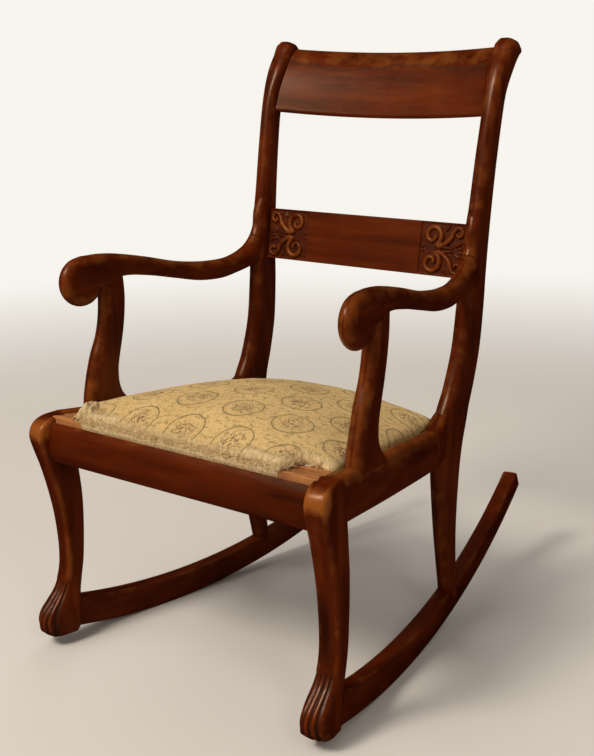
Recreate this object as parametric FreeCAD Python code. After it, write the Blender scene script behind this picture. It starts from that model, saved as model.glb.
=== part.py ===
import FreeCAD, Part
import math
import os

# A rocking armchair in mahogany with scrolled arms, paw feet and a drop-in seat.
# Millimetres. X runs across the chair, Y from front to back, Z up from the floor.
# The front of the chair faces -Y. "Right" is the +X side, "left" the -X side.
# Right-hand pieces are drawn first and mirrored across X = 0 for the left-hand ones.
# Heights and depths are drawn about the runners' resting line and moved at the end,
# so that the finished chair stands with the middle of its floor box at the origin.

Vector = FreeCAD.Vector

# Runners
rocker_radius = 1050.0          # sole arc of the runner
rocker_rest_y = -8.0            # lowest point of the sole, under the chair's weight
rocker_tail_y = 506.0           # end of the sole behind the chair
rocker_front_depth = 46.0       # depth of the runner behind the paw
rocker_tail_depth = 30.0        # depth of the runner at its tail
rocker_thickness = 26.0
rocker_end_round = 6.0

# Plan of the side frames, which draw together towards the back
front_station_y = -245.0
rear_station_y = 182.0
side_front_half = 279.0         # outer face of legs and side rails at the front station
side_rear_half = 210.0          # the same at the rear station
rocker_inset = 2.0              # runners inside the line of the side rails
arm_front_y = -177.0
arm_front_overhang = 5.0        # arms outside the line of the side rails at their scrolls
arm_rear_y = 215.0
arm_rear_overhang = 1.5         # arms outside the stiles' outer faces

# Stile with back leg, one sawn piece, leaning outwards to the top
stile_foot_half = 208.0
stile_foot_z = 55.0
stile_top_half = 229.0
stile_top_z = 910.0
stile_thickness = 28.0
stile_foot_y = 177.0
stile_foot_depth = 25.0
stile_back_slack = 14.0         # how far the stile's back edge bellies out at the seat
stile_ear_y = 309.0
stile_ear_radius = 17.0
stile_front_bevel = 6.0

# Seat rails
rail_top_front_z = 369.5        # top edge at the leg
rail_slope = -0.094             # fall of the rails towards the back
rail_front_height = 65.0
rail_rear_height = 56.0
side_rail_thickness = 34.0
rail_joint_y = 112.0            # butt joint between side rail and stile
rail_blend_y = 148.0            # where the stile's face meets the line of the side rail
front_rail_face_y = -241.0
front_rail_depth = 36.0
front_rail_height = 63.0
front_rail_drop = 6.0           # front rail's top below the leg's top
front_rail_belly = 5.0          # rise of its rounded face
front_rail_shoulder = 14.0      # rounding where its face turns into its top
back_rail_front_y = 150.0
back_rail_depth = 28.0
back_rail_height = 48.0

# Front leg and paw
leg_thickness = 34.0
leg_rear_y = -190.0             # seam between leg and side rail
leg_knee_y = -251.0
leg_shin_y = -213.0             # slimmest place of the leg
leg_shin_depth = 31.0
leg_bevel = 3.0
ankle_z = 112.0
paw_width = 43.0
paw_sole_z = 11.0
paw_toe_y = -264.0
paw_heel_y = -199.0
paw_facets = 16
toe_groove_depth = 4.0
toe_groove_width = 3.5
toe_groove_count = 3

# Arm and its support
arm_thickness = 27.0
scroll_radius = 35.0
scroll_y = -146.0
scroll_z = 562.0
arm_bevel = 5.0
arm_inset = 2.0                 # inside the stile's inner face the arm ends at the stile's front
support_thickness = 26.0
support_bevel = 4.0
support_foot_y = -154.0
support_head_reach = 61.0       # support's head behind its foot

# Back rails
crest_thickness = 20.0
crest_bow = 19.0                # hollow of the crest's face over its length
crest_rake = 27.0
crest_height = 115.0
crest_low_y = 257.0
crest_drop = 107.0              # crest's lower edge below the ears
crest_curl = 9.0                # how far the crest's face hollows from edge to edge
cross_rail_y = 229.0
cross_rail_z = 596.0
cross_rail_height = 84.0
cross_rail_thickness = 19.0
cross_rail_rake = 10.0
tenon_length = 18.0
tenon_thickness = 9.0
tenon_shoulder = 12.0
rail_tenon_drop = 26.0          # tenons stay under the rebate that the seat rests in
rail_tenon_inset = 10.0
carving_depth = 1.5             # ground of the carved end panels below the rail's face
carving_relief = 2.5            # height of the scrolls above that ground
carving_width = 84.0
carving_eye = 55.0              # centre of the scrolls from the stile's inner face

# Joints and fastenings
glue_line = 0.05
dowel_radius = 4.0
dowel_length = 44.0
corner_block_leg = 56.0
corner_block_depth = 24.0

# Drop-in seat
seat_gap = 1.5                  # play around the seat in its rebate
seat_front_y = -228.0
seat_rear_y = 158.0
seat_front_reveal = 27.2        # side rail beside the seat at its front
seat_rear_reveal = 29.9
seat_member_width = 46.0
seat_member_depth = 18.0
seat_floor_front_z = 352.0      # rebate floor under the seat's front edge
seat_slope = -0.082             # fall of the seat towards the back
seat_rest_gap = 0.2
webbing_width = 50.0
webbing_thickness = 1.4
webbing_columns = 4
webbing_rows = 3
hessian_thickness = 0.8
pad_crown = 34.0                # stuffing above the hessian at the middle
pad_rim = 12.0                  # stuffing above the hessian at its rim
cover_thickness = 1.2
bare_corner_width = 60.0        # corner of the seat frame that the cover leaves bare
bare_corner_length = 46.0


def vec(y, z, x=0.0):
    """A point of a side outline, which is drawn in the plane X = 0."""
    return Vector(x, y, z)


def line(a, b):
    """A straight edge."""
    return Part.LineSegment(a, b).toShape()


def arc(a, middle, b):
    """A round edge through three points."""
    return Part.Arc(a, middle, b).toShape()


def leaving_arc(start, way, end):
    """A round edge that leaves its start in a given direction and stops at its end."""
    chord = end - start
    across = Vector(0, -way.z, way.y)
    offset = chord.dot(across)
    if abs(offset) < 1e-6 * chord.Length:
        return line(start, end)
    radius = chord.dot(chord) / (2 * offset)
    centre = start + across * radius
    first = math.atan2(start.z - centre.z, start.y - centre.y)
    turn = 2 * math.asin(max(-1.0, min(1.0, chord.Length / (2 * radius))))
    half = first + turn / 2
    middle = centre + Vector(0, math.cos(half), math.sin(half)) * abs(radius)
    return arc(start, middle, end)


def arc_pair(start, way_in, end, way_out):
    """Two arcs that join two points smoothly with given directions at both."""
    chord = end - start
    both = way_in + way_out
    spread = 2 * (1 - way_in.dot(way_out))
    if spread < 1e-9:
        reach = chord.dot(chord) / (4 * chord.dot(way_out))
    else:
        along = chord.dot(both)
        reach = (-along + math.sqrt(along ** 2 + spread * chord.dot(chord))) / spread
    knee_in = start + way_in * reach
    knee_out = end - way_out * reach
    joint = (knee_in + knee_out) / 2
    way = (knee_out - knee_in).normalize()
    return [leaving_arc(start, way_in, joint), leaving_arc(joint, way, end)]


def sweep_of_arcs(points, first=None, last=None):
    """A smooth line of tangent arcs through the points of an outline."""
    curve = Part.BSplineCurve()
    curve.interpolate(points)
    ways = [Vector(*curve.tangent(curve.parameter(p))[0]).normalize() for p in points]
    if first is not None:
        ways[0] = Vector(0, *first).normalize()
    if last is not None:
        ways[-1] = Vector(0, *last).normalize()
    edges = []
    for k in range(len(points) - 1):
        edges += arc_pair(points[k], ways[k], points[k + 1], ways[k + 1])
    return edges


def board(edges, thickness):
    """A sawn board: its outline at X = 0 is the outer face, its body lies inwards."""
    face = Part.Face(Part.Wire(Part.__sortEdges__(edges)))
    return face.extrude(Vector(-thickness, 0, 0))


def edges_along(solid, outline, reach=0.02):
    """The long edges of a board that follow the given stretch of its outline."""
    stretch = Part.Compound(outline)
    found = []
    for edge in solid.Edges:
        start = edge.valueAt(edge.FirstParameter)
        end = edge.valueAt(edge.LastParameter)
        middle = edge.valueAt((edge.FirstParameter + edge.LastParameter) / 2)
        if abs(start.x - end.x) > reach:
            continue
        flat = [Vector(0, p.y, p.z) for p in (start, middle, end)]
        if all(Part.Vertex(p).distToShape(stretch)[0] < reach for p in flat):
            found.append(edge)
    return found


def bevelled(solid, outline, width):
    """Take the corners off a board along a stretch of its outline, on both faces."""
    return solid.makeChamfer(width, edges_along(solid, outline))


def largest(shape):
    """The biggest solid of a cut, which drops the waste beyond a joint."""
    return max(shape.Solids, key=lambda solid: solid.Volume)


def block(x0, x1, y0, y1, z0, z1):
    """A block between two corners."""
    return Part.makeBox(x1 - x0, y1 - y0, z1 - z0, Vector(x0, y0, z0))


def rod(centre, direction, radius, length):
    """A round bar with its middle at a point."""
    way = Vector(direction).normalize()
    return Part.makeCylinder(radius, length, centre - way * (length / 2), way)


def faceted(rings):
    """A solid of flat faces between rings that have the same number of points."""
    faces = [Part.Face(Part.makePolygon(ring + ring[:1])) for ring in (rings[0], rings[-1])]
    for lower, upper in zip(rings, rings[1:]):
        count = len(lower)
        for k in range(count):
            a, b = lower[k], lower[(k + 1) % count]
            c, d = upper[(k + 1) % count], upper[k]
            faces.append(Part.Face(Part.makePolygon([a, b, c, a])))
            faces.append(Part.Face(Part.makePolygon([a, c, d, a])))
    return Part.Solid(Part.Shell(faces)).removeSplitter()


def mirrored(shape):
    """The same piece for the other side of the chair."""
    return shape.mirror(Vector(0, 0, 0), Vector(1, 0, 0))


def group(shapes):
    """Several solids that share one node."""
    return Part.Compound(shapes)


class SidePlane:
    """The upright plane of a side frame's outer face, set by two half widths."""

    def __init__(self, y_front, half_front, y_rear, half_rear):
        self.y_front = y_front
        self.half_front = half_front
        self.slope = (half_rear - half_front) / (y_rear - y_front)
        self.stretch = math.sqrt(1 + self.slope ** 2)
        self.angle = -math.degrees(math.atan(self.slope))

    def at(self, y, z):
        """A point of an outline, measured along the board."""
        return vec(self.y_front + (y - self.y_front) * self.stretch, z)

    def half(self, y):
        """Outer half width of the chair at a depth."""
        return self.half_front + self.slope * (y - self.y_front)

    def inner(self, y, z, depth):
        """A point inside the board, a depth below its outer face."""
        inward = Vector(-1, self.slope, 0).normalize()
        return Vector(self.half(y), y, z) + inward * depth

    def way(self):
        """Direction of the board from front to back."""
        return Vector(self.slope, 1, 0).normalize()

    def place(self, solid):
        """Turn a board into its plane."""
        turned = solid.copy()
        turned.rotate(Vector(0, self.y_front, 0), Vector(0, 0, 1), self.angle)
        turned.translate(Vector(self.half_front, 0, 0))
        return turned


side = SidePlane(front_station_y, side_front_half, rear_station_y, side_rear_half)
runner = SidePlane(front_station_y, side_front_half - rocker_inset,
                   rear_station_y, side_rear_half - rocker_inset)
stile_rise = stile_top_z - stile_foot_z
crest_low = stile_top_z - crest_drop
stile_splay = math.degrees(math.atan((stile_top_half - stile_foot_half) / stile_rise))


def stile_half(z):
    """Outer half width of the stiles at a height."""
    share = (z - stile_foot_z) / stile_rise
    return stile_foot_half + share * (stile_top_half - stile_foot_half)


arm_plane = SidePlane(arm_front_y, side.half(arm_front_y) + arm_front_overhang,
                      arm_rear_y, stile_half(scroll_z) + arm_rear_overhang)


def stile_stop():
    """Everything outside the right stile's inner face."""
    wide = 2 * side_front_half
    stop = block(0, wide, -wide, rocker_tail_y + wide, -wide, stile_top_z + wide)
    stop.rotate(Vector(0, 0, stile_foot_z), Vector(0, 1, 0), stile_splay)
    stop.translate(Vector(stile_foot_half - stile_thickness, 0, 0))
    return stop


def rail_top(y):
    """Height of the side rail's top edge."""
    return rail_top_front_z + rail_slope * (y - leg_rear_y)


def rail_bottom(y):
    """Height of the side rail's lower edge."""
    share = (y - leg_rear_y) / (rail_joint_y - leg_rear_y)
    height = rail_front_height + share * (rail_rear_height - rail_front_height)
    return rail_top(y) - height


def sole(y):
    """Height of the runner's sole."""
    return rocker_radius - math.sqrt(rocker_radius ** 2 - (y - rocker_rest_y) ** 2)


def rocker_top(y):
    """Point on the runner's upper edge, square to a point of its sole."""
    share = (y - leg_rear_y) / (rocker_tail_y - leg_rear_y)
    depth = rocker_front_depth + share * (rocker_tail_depth - rocker_front_depth)
    lean = math.asin((y - rocker_rest_y) / rocker_radius)
    return y - depth * math.sin(lean), sole(y) + depth * math.cos(lean)


def seat_tilt():
    """Angle of the seat's fall, as a turn about X."""
    return math.degrees(math.atan(seat_slope))


def seat_floor(y):
    """Height of the rebate that the seat rests in."""
    return seat_floor_front_z + seat_slope * (y - seat_front_y)


def tilted(shape):
    """Turn a piece drawn level, with its underside at Z = 0, into the seat's plane."""
    turned = shape.copy()
    turned.rotate(Vector(0, seat_front_y, 0), Vector(1, 0, 0), seat_tilt())
    turned.translate(Vector(0, 0, seat_floor(seat_front_y)))
    return turned


def seat_half(y):
    """Half width of the seat frame at a depth."""
    front = side.half(seat_front_y) - seat_front_reveal
    rear = side.half(seat_rear_y) - seat_rear_reveal
    return front + (y - seat_front_y) / (seat_rear_y - seat_front_y) * (rear - front)


def seat_ring(grow, share, z):
    """The seat's plan at a height, grown all round or shrunk by a share to its middle."""
    middle = (seat_front_y + seat_rear_y) / 2
    front = middle + (seat_front_y - grow - middle) * (1 - share)
    rear = middle + (seat_rear_y + grow - middle) * (1 - share)
    front_half = (seat_half(seat_front_y) + grow) * (1 - share)
    rear_half = (seat_half(seat_rear_y) + grow) * (1 - share)
    corners = [Vector(-front_half, front, z), Vector(front_half, front, z),
               Vector(rear_half, rear, z), Vector(-rear_half, rear, z)]
    return corners


def seat_plan(grow, low, high):
    """A tapered slab on the seat's plan, drawn level and grown all round."""
    return faceted([seat_ring(grow, 0, low), seat_ring(grow, 0, high)])


def stile_point(back, up):
    """A point of the stile, by its shares of the way from the side rail's top to the ear."""
    low = rail_top(rail_joint_y)
    far = stile_ear_y - stile_ear_radius
    return vec(rail_blend_y + back * (far - rail_blend_y), low + up * (stile_top_z - low))


def stile_sweep():
    """Points of the stile's front edge, from the side rail's top to under the ear."""
    toe = rail_top(rail_joint_y)
    ear_front = stile_ear_y - stile_ear_radius
    return [vec(rail_joint_y, toe), stile_point(0, 0.0246), stile_point(0.16, 0.0844),
            stile_point(0.292, 0.2), stile_point(0.368, 0.341), stile_point(0.4375, 0.455),
            stile_point(0.542, 0.582), stile_point(0.722, 0.81),
            vec(ear_front - stile_ear_radius, stile_top_z - 3 * stile_ear_radius),
            vec(ear_front, stile_top_z - 1.18 * stile_ear_radius)]


def make_stile_stub():
    """The short arm of the stile that carries on the line of the side rail."""
    knee = rail_bottom(rail_joint_y)
    sweep = stile_sweep()[:2]
    curve = leaving_arc(side.at(sweep[0].y, sweep[0].z), Vector(0, 1, 0.05).normalize(),
                        side.at(sweep[1].y, sweep[1].z))
    rear = rail_blend_y
    edges = [curve, line(side.at(rear, sweep[1].z), side.at(rear, knee)),
             line(side.at(rear, knee), side.at(rail_joint_y, knee)),
             line(side.at(rail_joint_y, knee), side.at(rail_joint_y, sweep[0].z))]
    return side.place(board(edges, side_rail_thickness))


def make_stile_blank():
    """Right stile: a sabre leg below the seat, a back that leans and ends in an ear."""
    knee = rail_bottom(rail_joint_y)
    sunk = stile_foot_z - 25.0
    sweep = stile_sweep()[1:]
    ear_back = stile_ear_y + stile_ear_radius
    leg = sweep_of_arcs([vec(stile_foot_y + 4, sunk), vec(stile_foot_y - 10, stile_foot_z + 60),
                         vec(stile_foot_y - 27, stile_foot_z + 150), vec(rail_blend_y - 6, knee - 24),
                         vec(rail_blend_y - 8, knee)])
    seam = [line(leg[-1].valueAt(leg[-1].LastParameter), vec(rail_blend_y, knee)),
            line(vec(rail_blend_y, knee), sweep[0])]
    front = sweep_of_arcs(sweep)
    ear_low = vec(ear_back - 4, stile_top_z - stile_ear_radius - 7)
    ear_tip = vec(ear_back, stile_top_z - 0.82 * stile_ear_radius)
    ear = [arc(sweep[-1], vec(stile_ear_y - 5, stile_top_z - 1), ear_tip), line(ear_tip, ear_low)]
    slack = stile_back_slack
    seat = rail_joint_y + 68.0
    back = sweep_of_arcs([ear_low, vec(ear_back - 35, stile_top_z - 64), stile_point(0.889, 0.798),
                          stile_point(0.771, 0.613), stile_point(0.715, 0.455),
                          stile_point(0.674, 0.279), stile_point(0.552, 0.0895),
                          vec(seat + 17 + slack, rail_top(rail_joint_y) - 16),
                          vec(seat + 2 + slack, stile_foot_z + 195),
                          vec(seat - 2 + slack, stile_foot_z + 125),
                          vec(stile_foot_y + 2 + stile_foot_depth, sunk)],
                         first=(-0.75, -1))
    foot = line(vec(stile_foot_y + 2 + stile_foot_depth, sunk), vec(stile_foot_y + 4, sunk))
    solid = board(leg + seam + front + ear + back + [foot], stile_thickness)
    solid = bevelled(solid, leg, stile_front_bevel)
    solid = bevelled(solid, front, stile_front_bevel)
    solid.rotate(Vector(0, 0, stile_foot_z), Vector(0, 1, 0), stile_splay)
    solid.translate(Vector(stile_foot_half, 0, 0))
    return largest(solid.fuse(make_stile_stub()))


def make_rocker_blank():
    """Right runner: a sole arc, a slimmer arc above it and a rounded tail."""
    start = leg_rear_y - 12.0
    middle = (start + rocker_tail_y) / 2
    sole_edge = arc(runner.at(start, sole(start)), runner.at(middle, sole(middle)),
                    runner.at(rocker_tail_y, sole(rocker_tail_y)))
    tops = [rocker_top(y) for y in (start, middle, rocker_tail_y)]
    top_edge = arc(*[runner.at(y, z) for y, z in tops])
    tail = line(runner.at(rocker_tail_y, sole(rocker_tail_y)), runner.at(*tops[2]))
    head = line(runner.at(start, sole(start)), runner.at(*tops[0]))
    solid = board([sole_edge, tail, top_edge, head], rocker_thickness)
    corners = [edge for edge in solid.Edges
               if abs(edge.Length - rocker_thickness) < 0.01 and edge.valueAt(0).y > middle]
    solid = solid.makeFillet(rocker_end_round, corners)
    return runner.place(solid)


def paw_section(z, toe, heel, width):
    """One level outline of the paw, a rounded shape between toe and heel."""
    middle = side.inner((toe + heel) / 2, z, leg_thickness / 2)
    way = side.way()
    across = Vector(way.y, -way.x, 0)
    points = []
    for k in range(paw_facets):
        turn = 2 * math.pi * (k + 0.5) / paw_facets
        reach = way * (math.cos(turn) * (heel - toe) / 2) + across * (math.sin(turn) * width / 2)
        points.append(middle + reach)
    return points


def toe_groove(lane):
    """A V-shaped cut down the front of the paw between two toes."""
    shift = lane * paw_width * 0.9
    bulge = math.sqrt(1 - (1.8 * lane) ** 2)
    middle_y = (paw_toe_y + paw_heel_y) / 2
    toe_y = middle_y - (middle_y - paw_toe_y) * bulge + toe_groove_depth
    path = [(ankle_z - 22, leg_shin_y - 4), (ankle_z - 62, toe_y), (paw_sole_z - 1, toe_y + 3)]
    cuts = []
    for (z0, y0), (z1, y1) in zip(path, path[1:]):
        rings = []
        for z, y in ((z0, y0), (z1, y1)):
            rings.append([side.inner(y + dy, z, leg_thickness / 2 - shift + dx)
                          for dy, dx in ((0, 0), (-3 * toe_groove_depth, toe_groove_width * 1.5),
                                         (-3 * toe_groove_depth, -toe_groove_width * 1.5))])
        cuts.append(faceted(rings))
    return cuts


def make_paw():
    """Right paw foot: it swells forward from the ankle and is parted into toes."""
    shin_rear = leg_shin_y + leg_shin_depth
    sections = [(ankle_z, leg_shin_y - 1, shin_rear - 1, leg_thickness),
                (ankle_z - 24, leg_shin_y - 10, shin_rear - 4, leg_thickness + 2),
                (ankle_z - 45, leg_shin_y - 32, paw_heel_y + 4, paw_width - 3),
                (ankle_z - 64, paw_toe_y + 3, paw_heel_y, paw_width),
                (paw_sole_z + 16, paw_toe_y, paw_heel_y - 1, paw_width),
                (paw_sole_z, paw_toe_y + 8, paw_heel_y - 5, paw_width - 6)]
    paw = faceted([paw_section(*section) for section in sections])
    for k in range(toe_groove_count):
        for groove in toe_groove((k + 1) / (toe_groove_count + 1) - 0.5):
            paw = paw.cut(groove)
    return largest(paw)


def make_leg_blank():
    """Right front leg: knee rolled over at the top, shin drawn in, paw below."""
    top = rail_top(leg_rear_y)
    low = rail_bottom(leg_rear_y)
    knee = top - 20.0
    shin_rear = leg_shin_y + leg_shin_depth
    cap = line(side.at(leg_rear_y, top), side.at(leg_rear_y - 24, top))
    front = sweep_of_arcs([side.at(leg_rear_y - 24, top), side.at(leg_knee_y + 9, top - 7),
                           side.at(leg_knee_y, knee), side.at(leg_knee_y + 9, knee - 42),
                           side.at(leg_shin_y - 12, knee - 98), side.at(leg_shin_y - 1, ankle_z + 60),
                           side.at(leg_shin_y, ankle_z + 15), side.at(leg_shin_y - 4, ankle_z - 16)],
                          first=(-1, 0), last=(-0.5, -1))
    base = line(side.at(leg_shin_y - 4, ankle_z - 16), side.at(shin_rear - 3, ankle_z - 16))
    rear = sweep_of_arcs([side.at(shin_rear - 3, ankle_z - 16), side.at(shin_rear, ankle_z + 40),
                          side.at(shin_rear, ankle_z + 110), side.at(leg_rear_y, low)],
                         last=(-0.35, 1))
    seam = line(side.at(leg_rear_y, low), side.at(leg_rear_y, top))
    solid = board([cap] + front + [base] + rear + [seam], leg_thickness)
    solid = bevelled(solid, front[2:12], leg_bevel)
    return largest(side.place(solid).fuse(make_paw()))


def rail_strip(reach, drop, rise, thickness):
    """A strip along the side rail: longer by a reach, set below its top and above its bottom."""
    front = leg_rear_y - reach
    rear = rail_joint_y + reach
    points = [side.at(front, rail_top(front) - drop), side.at(rear, rail_top(rear) - drop),
              side.at(rear, rail_bottom(rear) + rise), side.at(front, rail_bottom(front) + rise)]
    return board([line(points[k], points[(k + 1) % 4]) for k in range(4)], thickness)


def make_side_rail():
    """Right side rail with a tenon at each end."""
    tongue = rail_strip(tenon_length, rail_tenon_drop, tenon_shoulder, tenon_thickness)
    tongue.translate(Vector(-rail_tenon_inset, 0, 0))
    rail = rail_strip(0, 0, 0, side_rail_thickness)
    return side.place(rail.fuse(tongue).removeSplitter())


def through_tongue(y, z_low, z_high, reach):
    """A tongue right across the chair, which makes the tenons of a cross piece."""
    return block(-reach, reach, y - tenon_thickness / 2, y + tenon_thickness / 2, z_low, z_high)


def arm_point(reach, rise):
    """A point of the arm's outline, measured from the middle of its scroll."""
    return arm_plane.at(scroll_y + reach, scroll_z + rise)


def arm_outline():
    """Edges of the arm's outline: those along its top, and the rest."""
    front = [(0, scroll_radius), (61, 32), (122, 21), (184, 6), (238, -1.5), (292, -1), (334, 15),
             (354, 39), (363, 66)]
    top = sweep_of_arcs([arm_point(*p) for p in front], first=(1, 0), last=(0.12, 1))
    under = [(0.92 * scroll_radius, -0.39 * scroll_radius), (54, 2), (116, -6), (178, -19),
             (230, -28.5), (274, -30), (318, -23), (358, -9)]
    low = sweep_of_arcs([arm_point(*p) for p in under], first=(0.42, 0.9))
    end = [arm_point(*p) for p in ((363, 66), (385, 66), (385, -9), (358, -9))]
    tail = [line(end[k], end[k + 1]) for k in range(3)]
    curl = arc(arm_point(*front[0]), arm_point(-0.94 * scroll_radius, -0.34 * scroll_radius),
               arm_point(*under[0]))
    return top, [curl] + tail + low


def make_arm_blank():
    """Right arm: a scroll in front, a dip, then a rise into the stile."""
    top, rest = arm_outline()
    solid = board(top + rest, arm_thickness)
    return arm_plane.place(bevelled(solid, top[:-4], arm_bevel))


def arm_stop():
    """Everything at and above the arm's underside, where the support ends."""
    wide = board(arm_outline()[0] + arm_outline()[1], 3 * arm_thickness)
    wide.translate(Vector(arm_thickness, 0, 0))
    return arm_plane.place(wide)


def make_support_blank():
    """Right arm support: an S-curved post from the side rail up into the arm."""
    foot = rail_top(support_foot_y)
    sunk = foot - 30.0
    high = scroll_z + scroll_radius + 3.0
    front = sweep_of_arcs([vec(support_foot_y, sunk), vec(support_foot_y + 1, foot),
                           vec(support_foot_y + 6, foot + 37), vec(support_foot_y + 17, foot + 75),
                           vec(support_foot_y + 31, foot + 110), vec(support_foot_y + 39, foot + 142),
                           vec(support_foot_y + 42, foot + 175), vec(support_foot_y + 42, high)])
    rear = sweep_of_arcs([vec(support_foot_y + 84, high), vec(support_foot_y + 79, foot + 160),
                          vec(support_foot_y + 76, foot + 126), vec(support_foot_y + 68, foot + 92),
                          vec(support_foot_y + 60, foot + 60), vec(support_foot_y + 58, foot + 32),
                          vec(support_foot_y + 66, foot + 10), vec(support_foot_y + 84, foot - 6),
                          vec(support_foot_y + 84.5, sunk)], last=(0, -1))
    top = line(vec(support_foot_y + 42, high), vec(support_foot_y + 84, high))
    base = line(vec(support_foot_y + 84.5, sunk), vec(support_foot_y, sunk))
    solid = board(front + [top] + rear + [base], support_thickness)
    solid = bevelled(solid, front, support_bevel)
    placed = side.place(solid)
    head_y = support_foot_y + support_head_reach
    spread = arm_plane.half(head_y) - side.half(head_y)
    base = Vector(side.half(support_foot_y), support_foot_y, foot)
    placed.rotate(base, side.way(), math.degrees(math.atan(spread / (scroll_z - foot))))
    return placed


def make_front_rail_blank():
    """Front rail across the legs, with a rounded face and a rounded upper edge."""
    half = side_front_half
    top = rail_top(leg_rear_y) - front_rail_drop
    low = top - front_rail_height
    face_y = front_rail_face_y
    rear_y = face_y + front_rail_depth
    shoulder = front_rail_shoulder
    points = [vec(face_y + 6, low), vec(face_y + 1, low + 10),
              vec(face_y, (low + top) / 2 + front_rail_belly), vec(face_y + 2, top - shoulder),
              vec(face_y + shoulder, top)]
    face = sweep_of_arcs(points, last=(1, 0.02))
    edges = face + [line(points[-1], vec(rear_y, top)), line(vec(rear_y, top), vec(rear_y, low)),
                    line(vec(rear_y, low), points[0])]
    solid = board(edges, 2 * half)
    solid.translate(Vector(half, 0, 0))
    return solid


def make_back_rail_blank():
    """Back rail between the stiles."""
    top = rail_top(back_rail_front_y)
    return block(-side_front_half, side_front_half, back_rail_front_y,
                 back_rail_front_y + back_rail_depth, top - back_rail_height, top)


def raked(solid, y, z, rake):
    """Lean a piece back about a point of its front face."""
    leaning = solid.copy()
    leaning.rotate(Vector(0, y, z), Vector(1, 0, 0), -rake)
    return leaning


def make_cross_rail_blank():
    """Plain middle of the cross rail, longer than its place."""
    half = side_front_half
    slab = block(-half, half, cross_rail_y, cross_rail_y + cross_rail_thickness,
                 cross_rail_z - cross_rail_height / 2, cross_rail_z + cross_rail_height / 2)
    return raked(slab, cross_rail_y, cross_rail_z, cross_rail_rake)


def scroll_relief(centre_x, centre_z, radius, width, start, turn):
    """A raised C-scroll that winds in to a round eye, on the cross rail's face."""
    steps = max(2, int(abs(turn) / 100))
    outer = []
    inner = []
    for k in range(2 * steps + 1):
        share = k / (2 * steps)
        angle = math.radians(start + turn * share)
        reach = radius * (1 - 0.55 * share)
        band = width * (1 - 0.35 * share) / 2
        for side_points, r in ((outer, reach + band), (inner, reach - band)):
            side_points.append(Vector(centre_x + r * math.cos(angle), 0, centre_z + r * math.sin(angle)))
    edges = []
    for points in (outer, inner):
        for k in range(0, 2 * steps, 2):
            edges.append(arc(points[k], points[k + 1], points[k + 2]))
    edges += [line(outer[0], inner[0]), line(outer[-1], inner[-1])]
    face = Part.Face(Part.Wire(Part.__sortEdges__(edges)))
    face.translate(Vector(0, carving_depth, 0))
    ridge = face.extrude(Vector(0, -carving_relief, 0))
    middle = Vector(centre_x, carving_depth, centre_z)
    eye = Part.makeCylinder(radius * 0.27, carving_relief, middle, Vector(0, -1, 0))
    return [ridge, eye]


def make_carving(eye_x):
    """Two C-scrolls back to back, about a width across the chair."""
    high = cross_rail_height / 4
    pieces = []
    for lift, start, turn in ((high, -120, 330), (-high, 120, -330)):
        pieces += scroll_relief(eye_x, cross_rail_z + lift, cross_rail_height * 0.2, 6.0, start, turn)
    relief = pieces[0].multiFuse(pieces[1:])
    relief.translate(Vector(0, cross_rail_y, 0))
    return raked(relief, cross_rail_y, cross_rail_z, cross_rail_rake)


def make_panel_ground(stile_x):
    """The sunk ground of a carved end panel, beside the stile's inner face."""
    half = cross_rail_height / 2 - 3
    ground = block(stile_x - carving_width, stile_x - 3, cross_rail_y - 1, cross_rail_y + carving_depth,
                   cross_rail_z - half, cross_rail_z + half)
    return raked(ground, cross_rail_y, cross_rail_z, cross_rail_rake)


def crest_section():
    """Side section of the crest at its ends: hollow in front, rolled over at the top."""
    curl = crest_curl
    thick = crest_thickness
    face = [(curl * (1 - (2 * k / 5 - 1) ** 2), crest_height * 0.94 * k / 5) for k in range(6)]
    roll = [(thick * 0.3, crest_height), (thick * 0.85, crest_height - 1)]
    back = [(thick + curl * (1 - (2 * k / 3 - 1) ** 2), crest_height * 0.92 * k / 3)
            for k in (3, 2, 1, 0)]
    points = [vec(y, z) for y, z in face + roll + back]
    return Part.Face(Part.makePolygon(points + points[:1]))


def make_crest_blank():
    """Crest rail: its section swung about an upright axis in front of the chair."""
    chord_half = stile_half(crest_low + crest_height / 2) - stile_thickness
    radius = (chord_half ** 2 + crest_bow ** 2) / (2 * crest_bow)
    swing = math.degrees(math.asin((chord_half + stile_thickness) / radius))
    section = crest_section()
    section.translate(Vector(0, crest_bow, 0))
    pivot = Vector(0, crest_bow - radius, 0)
    section.rotate(pivot, Vector(0, 0, 1), -swing)
    solid = section.revolve(pivot, Vector(0, 0, 1), 2 * swing)
    solid.rotate(Vector(0, 0, 0), Vector(1, 0, 0), -crest_rake)
    solid.translate(Vector(0, crest_low_y, crest_low))
    return solid


def tenons(y, z, rake, height):
    """Tongues at both ends of a back rail, which enter the stiles."""
    reach = stile_half(z) - stile_thickness + tenon_length
    slab = block(-reach, reach, y - tenon_thickness / 2, y + tenon_thickness / 2,
                 z - height / 2, z + height / 2)
    return raked(slab, y, z, rake)


def fit_between_stiles(blank, tongue):
    """Square a back rail to the stiles' inner faces and give it its tenons."""
    body = blank.cut(stile_stop()).cut(mirrored(stile_stop()))
    return largest(largest(body).fuse(tongue)).removeSplitter()


def make_corner_block(corner_x, corner_y, way_x, way_y, top):
    """A triangular block glued into a corner of the seat rails."""
    size = corner_block_leg
    points = [Vector(corner_x, corner_y, top - corner_block_depth),
              Vector(corner_x + way_x * size, corner_y, top - corner_block_depth),
              Vector(corner_x, corner_y + way_y * size, top - corner_block_depth)]
    return Part.Face(Part.makePolygon(points + points[:1])).extrude(Vector(0, 0, corner_block_depth))


def drilled(shape, tools):
    """Cut a set of holes or sockets from a piece."""
    return largest(shape.cut(Part.Compound(tools)))


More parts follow.
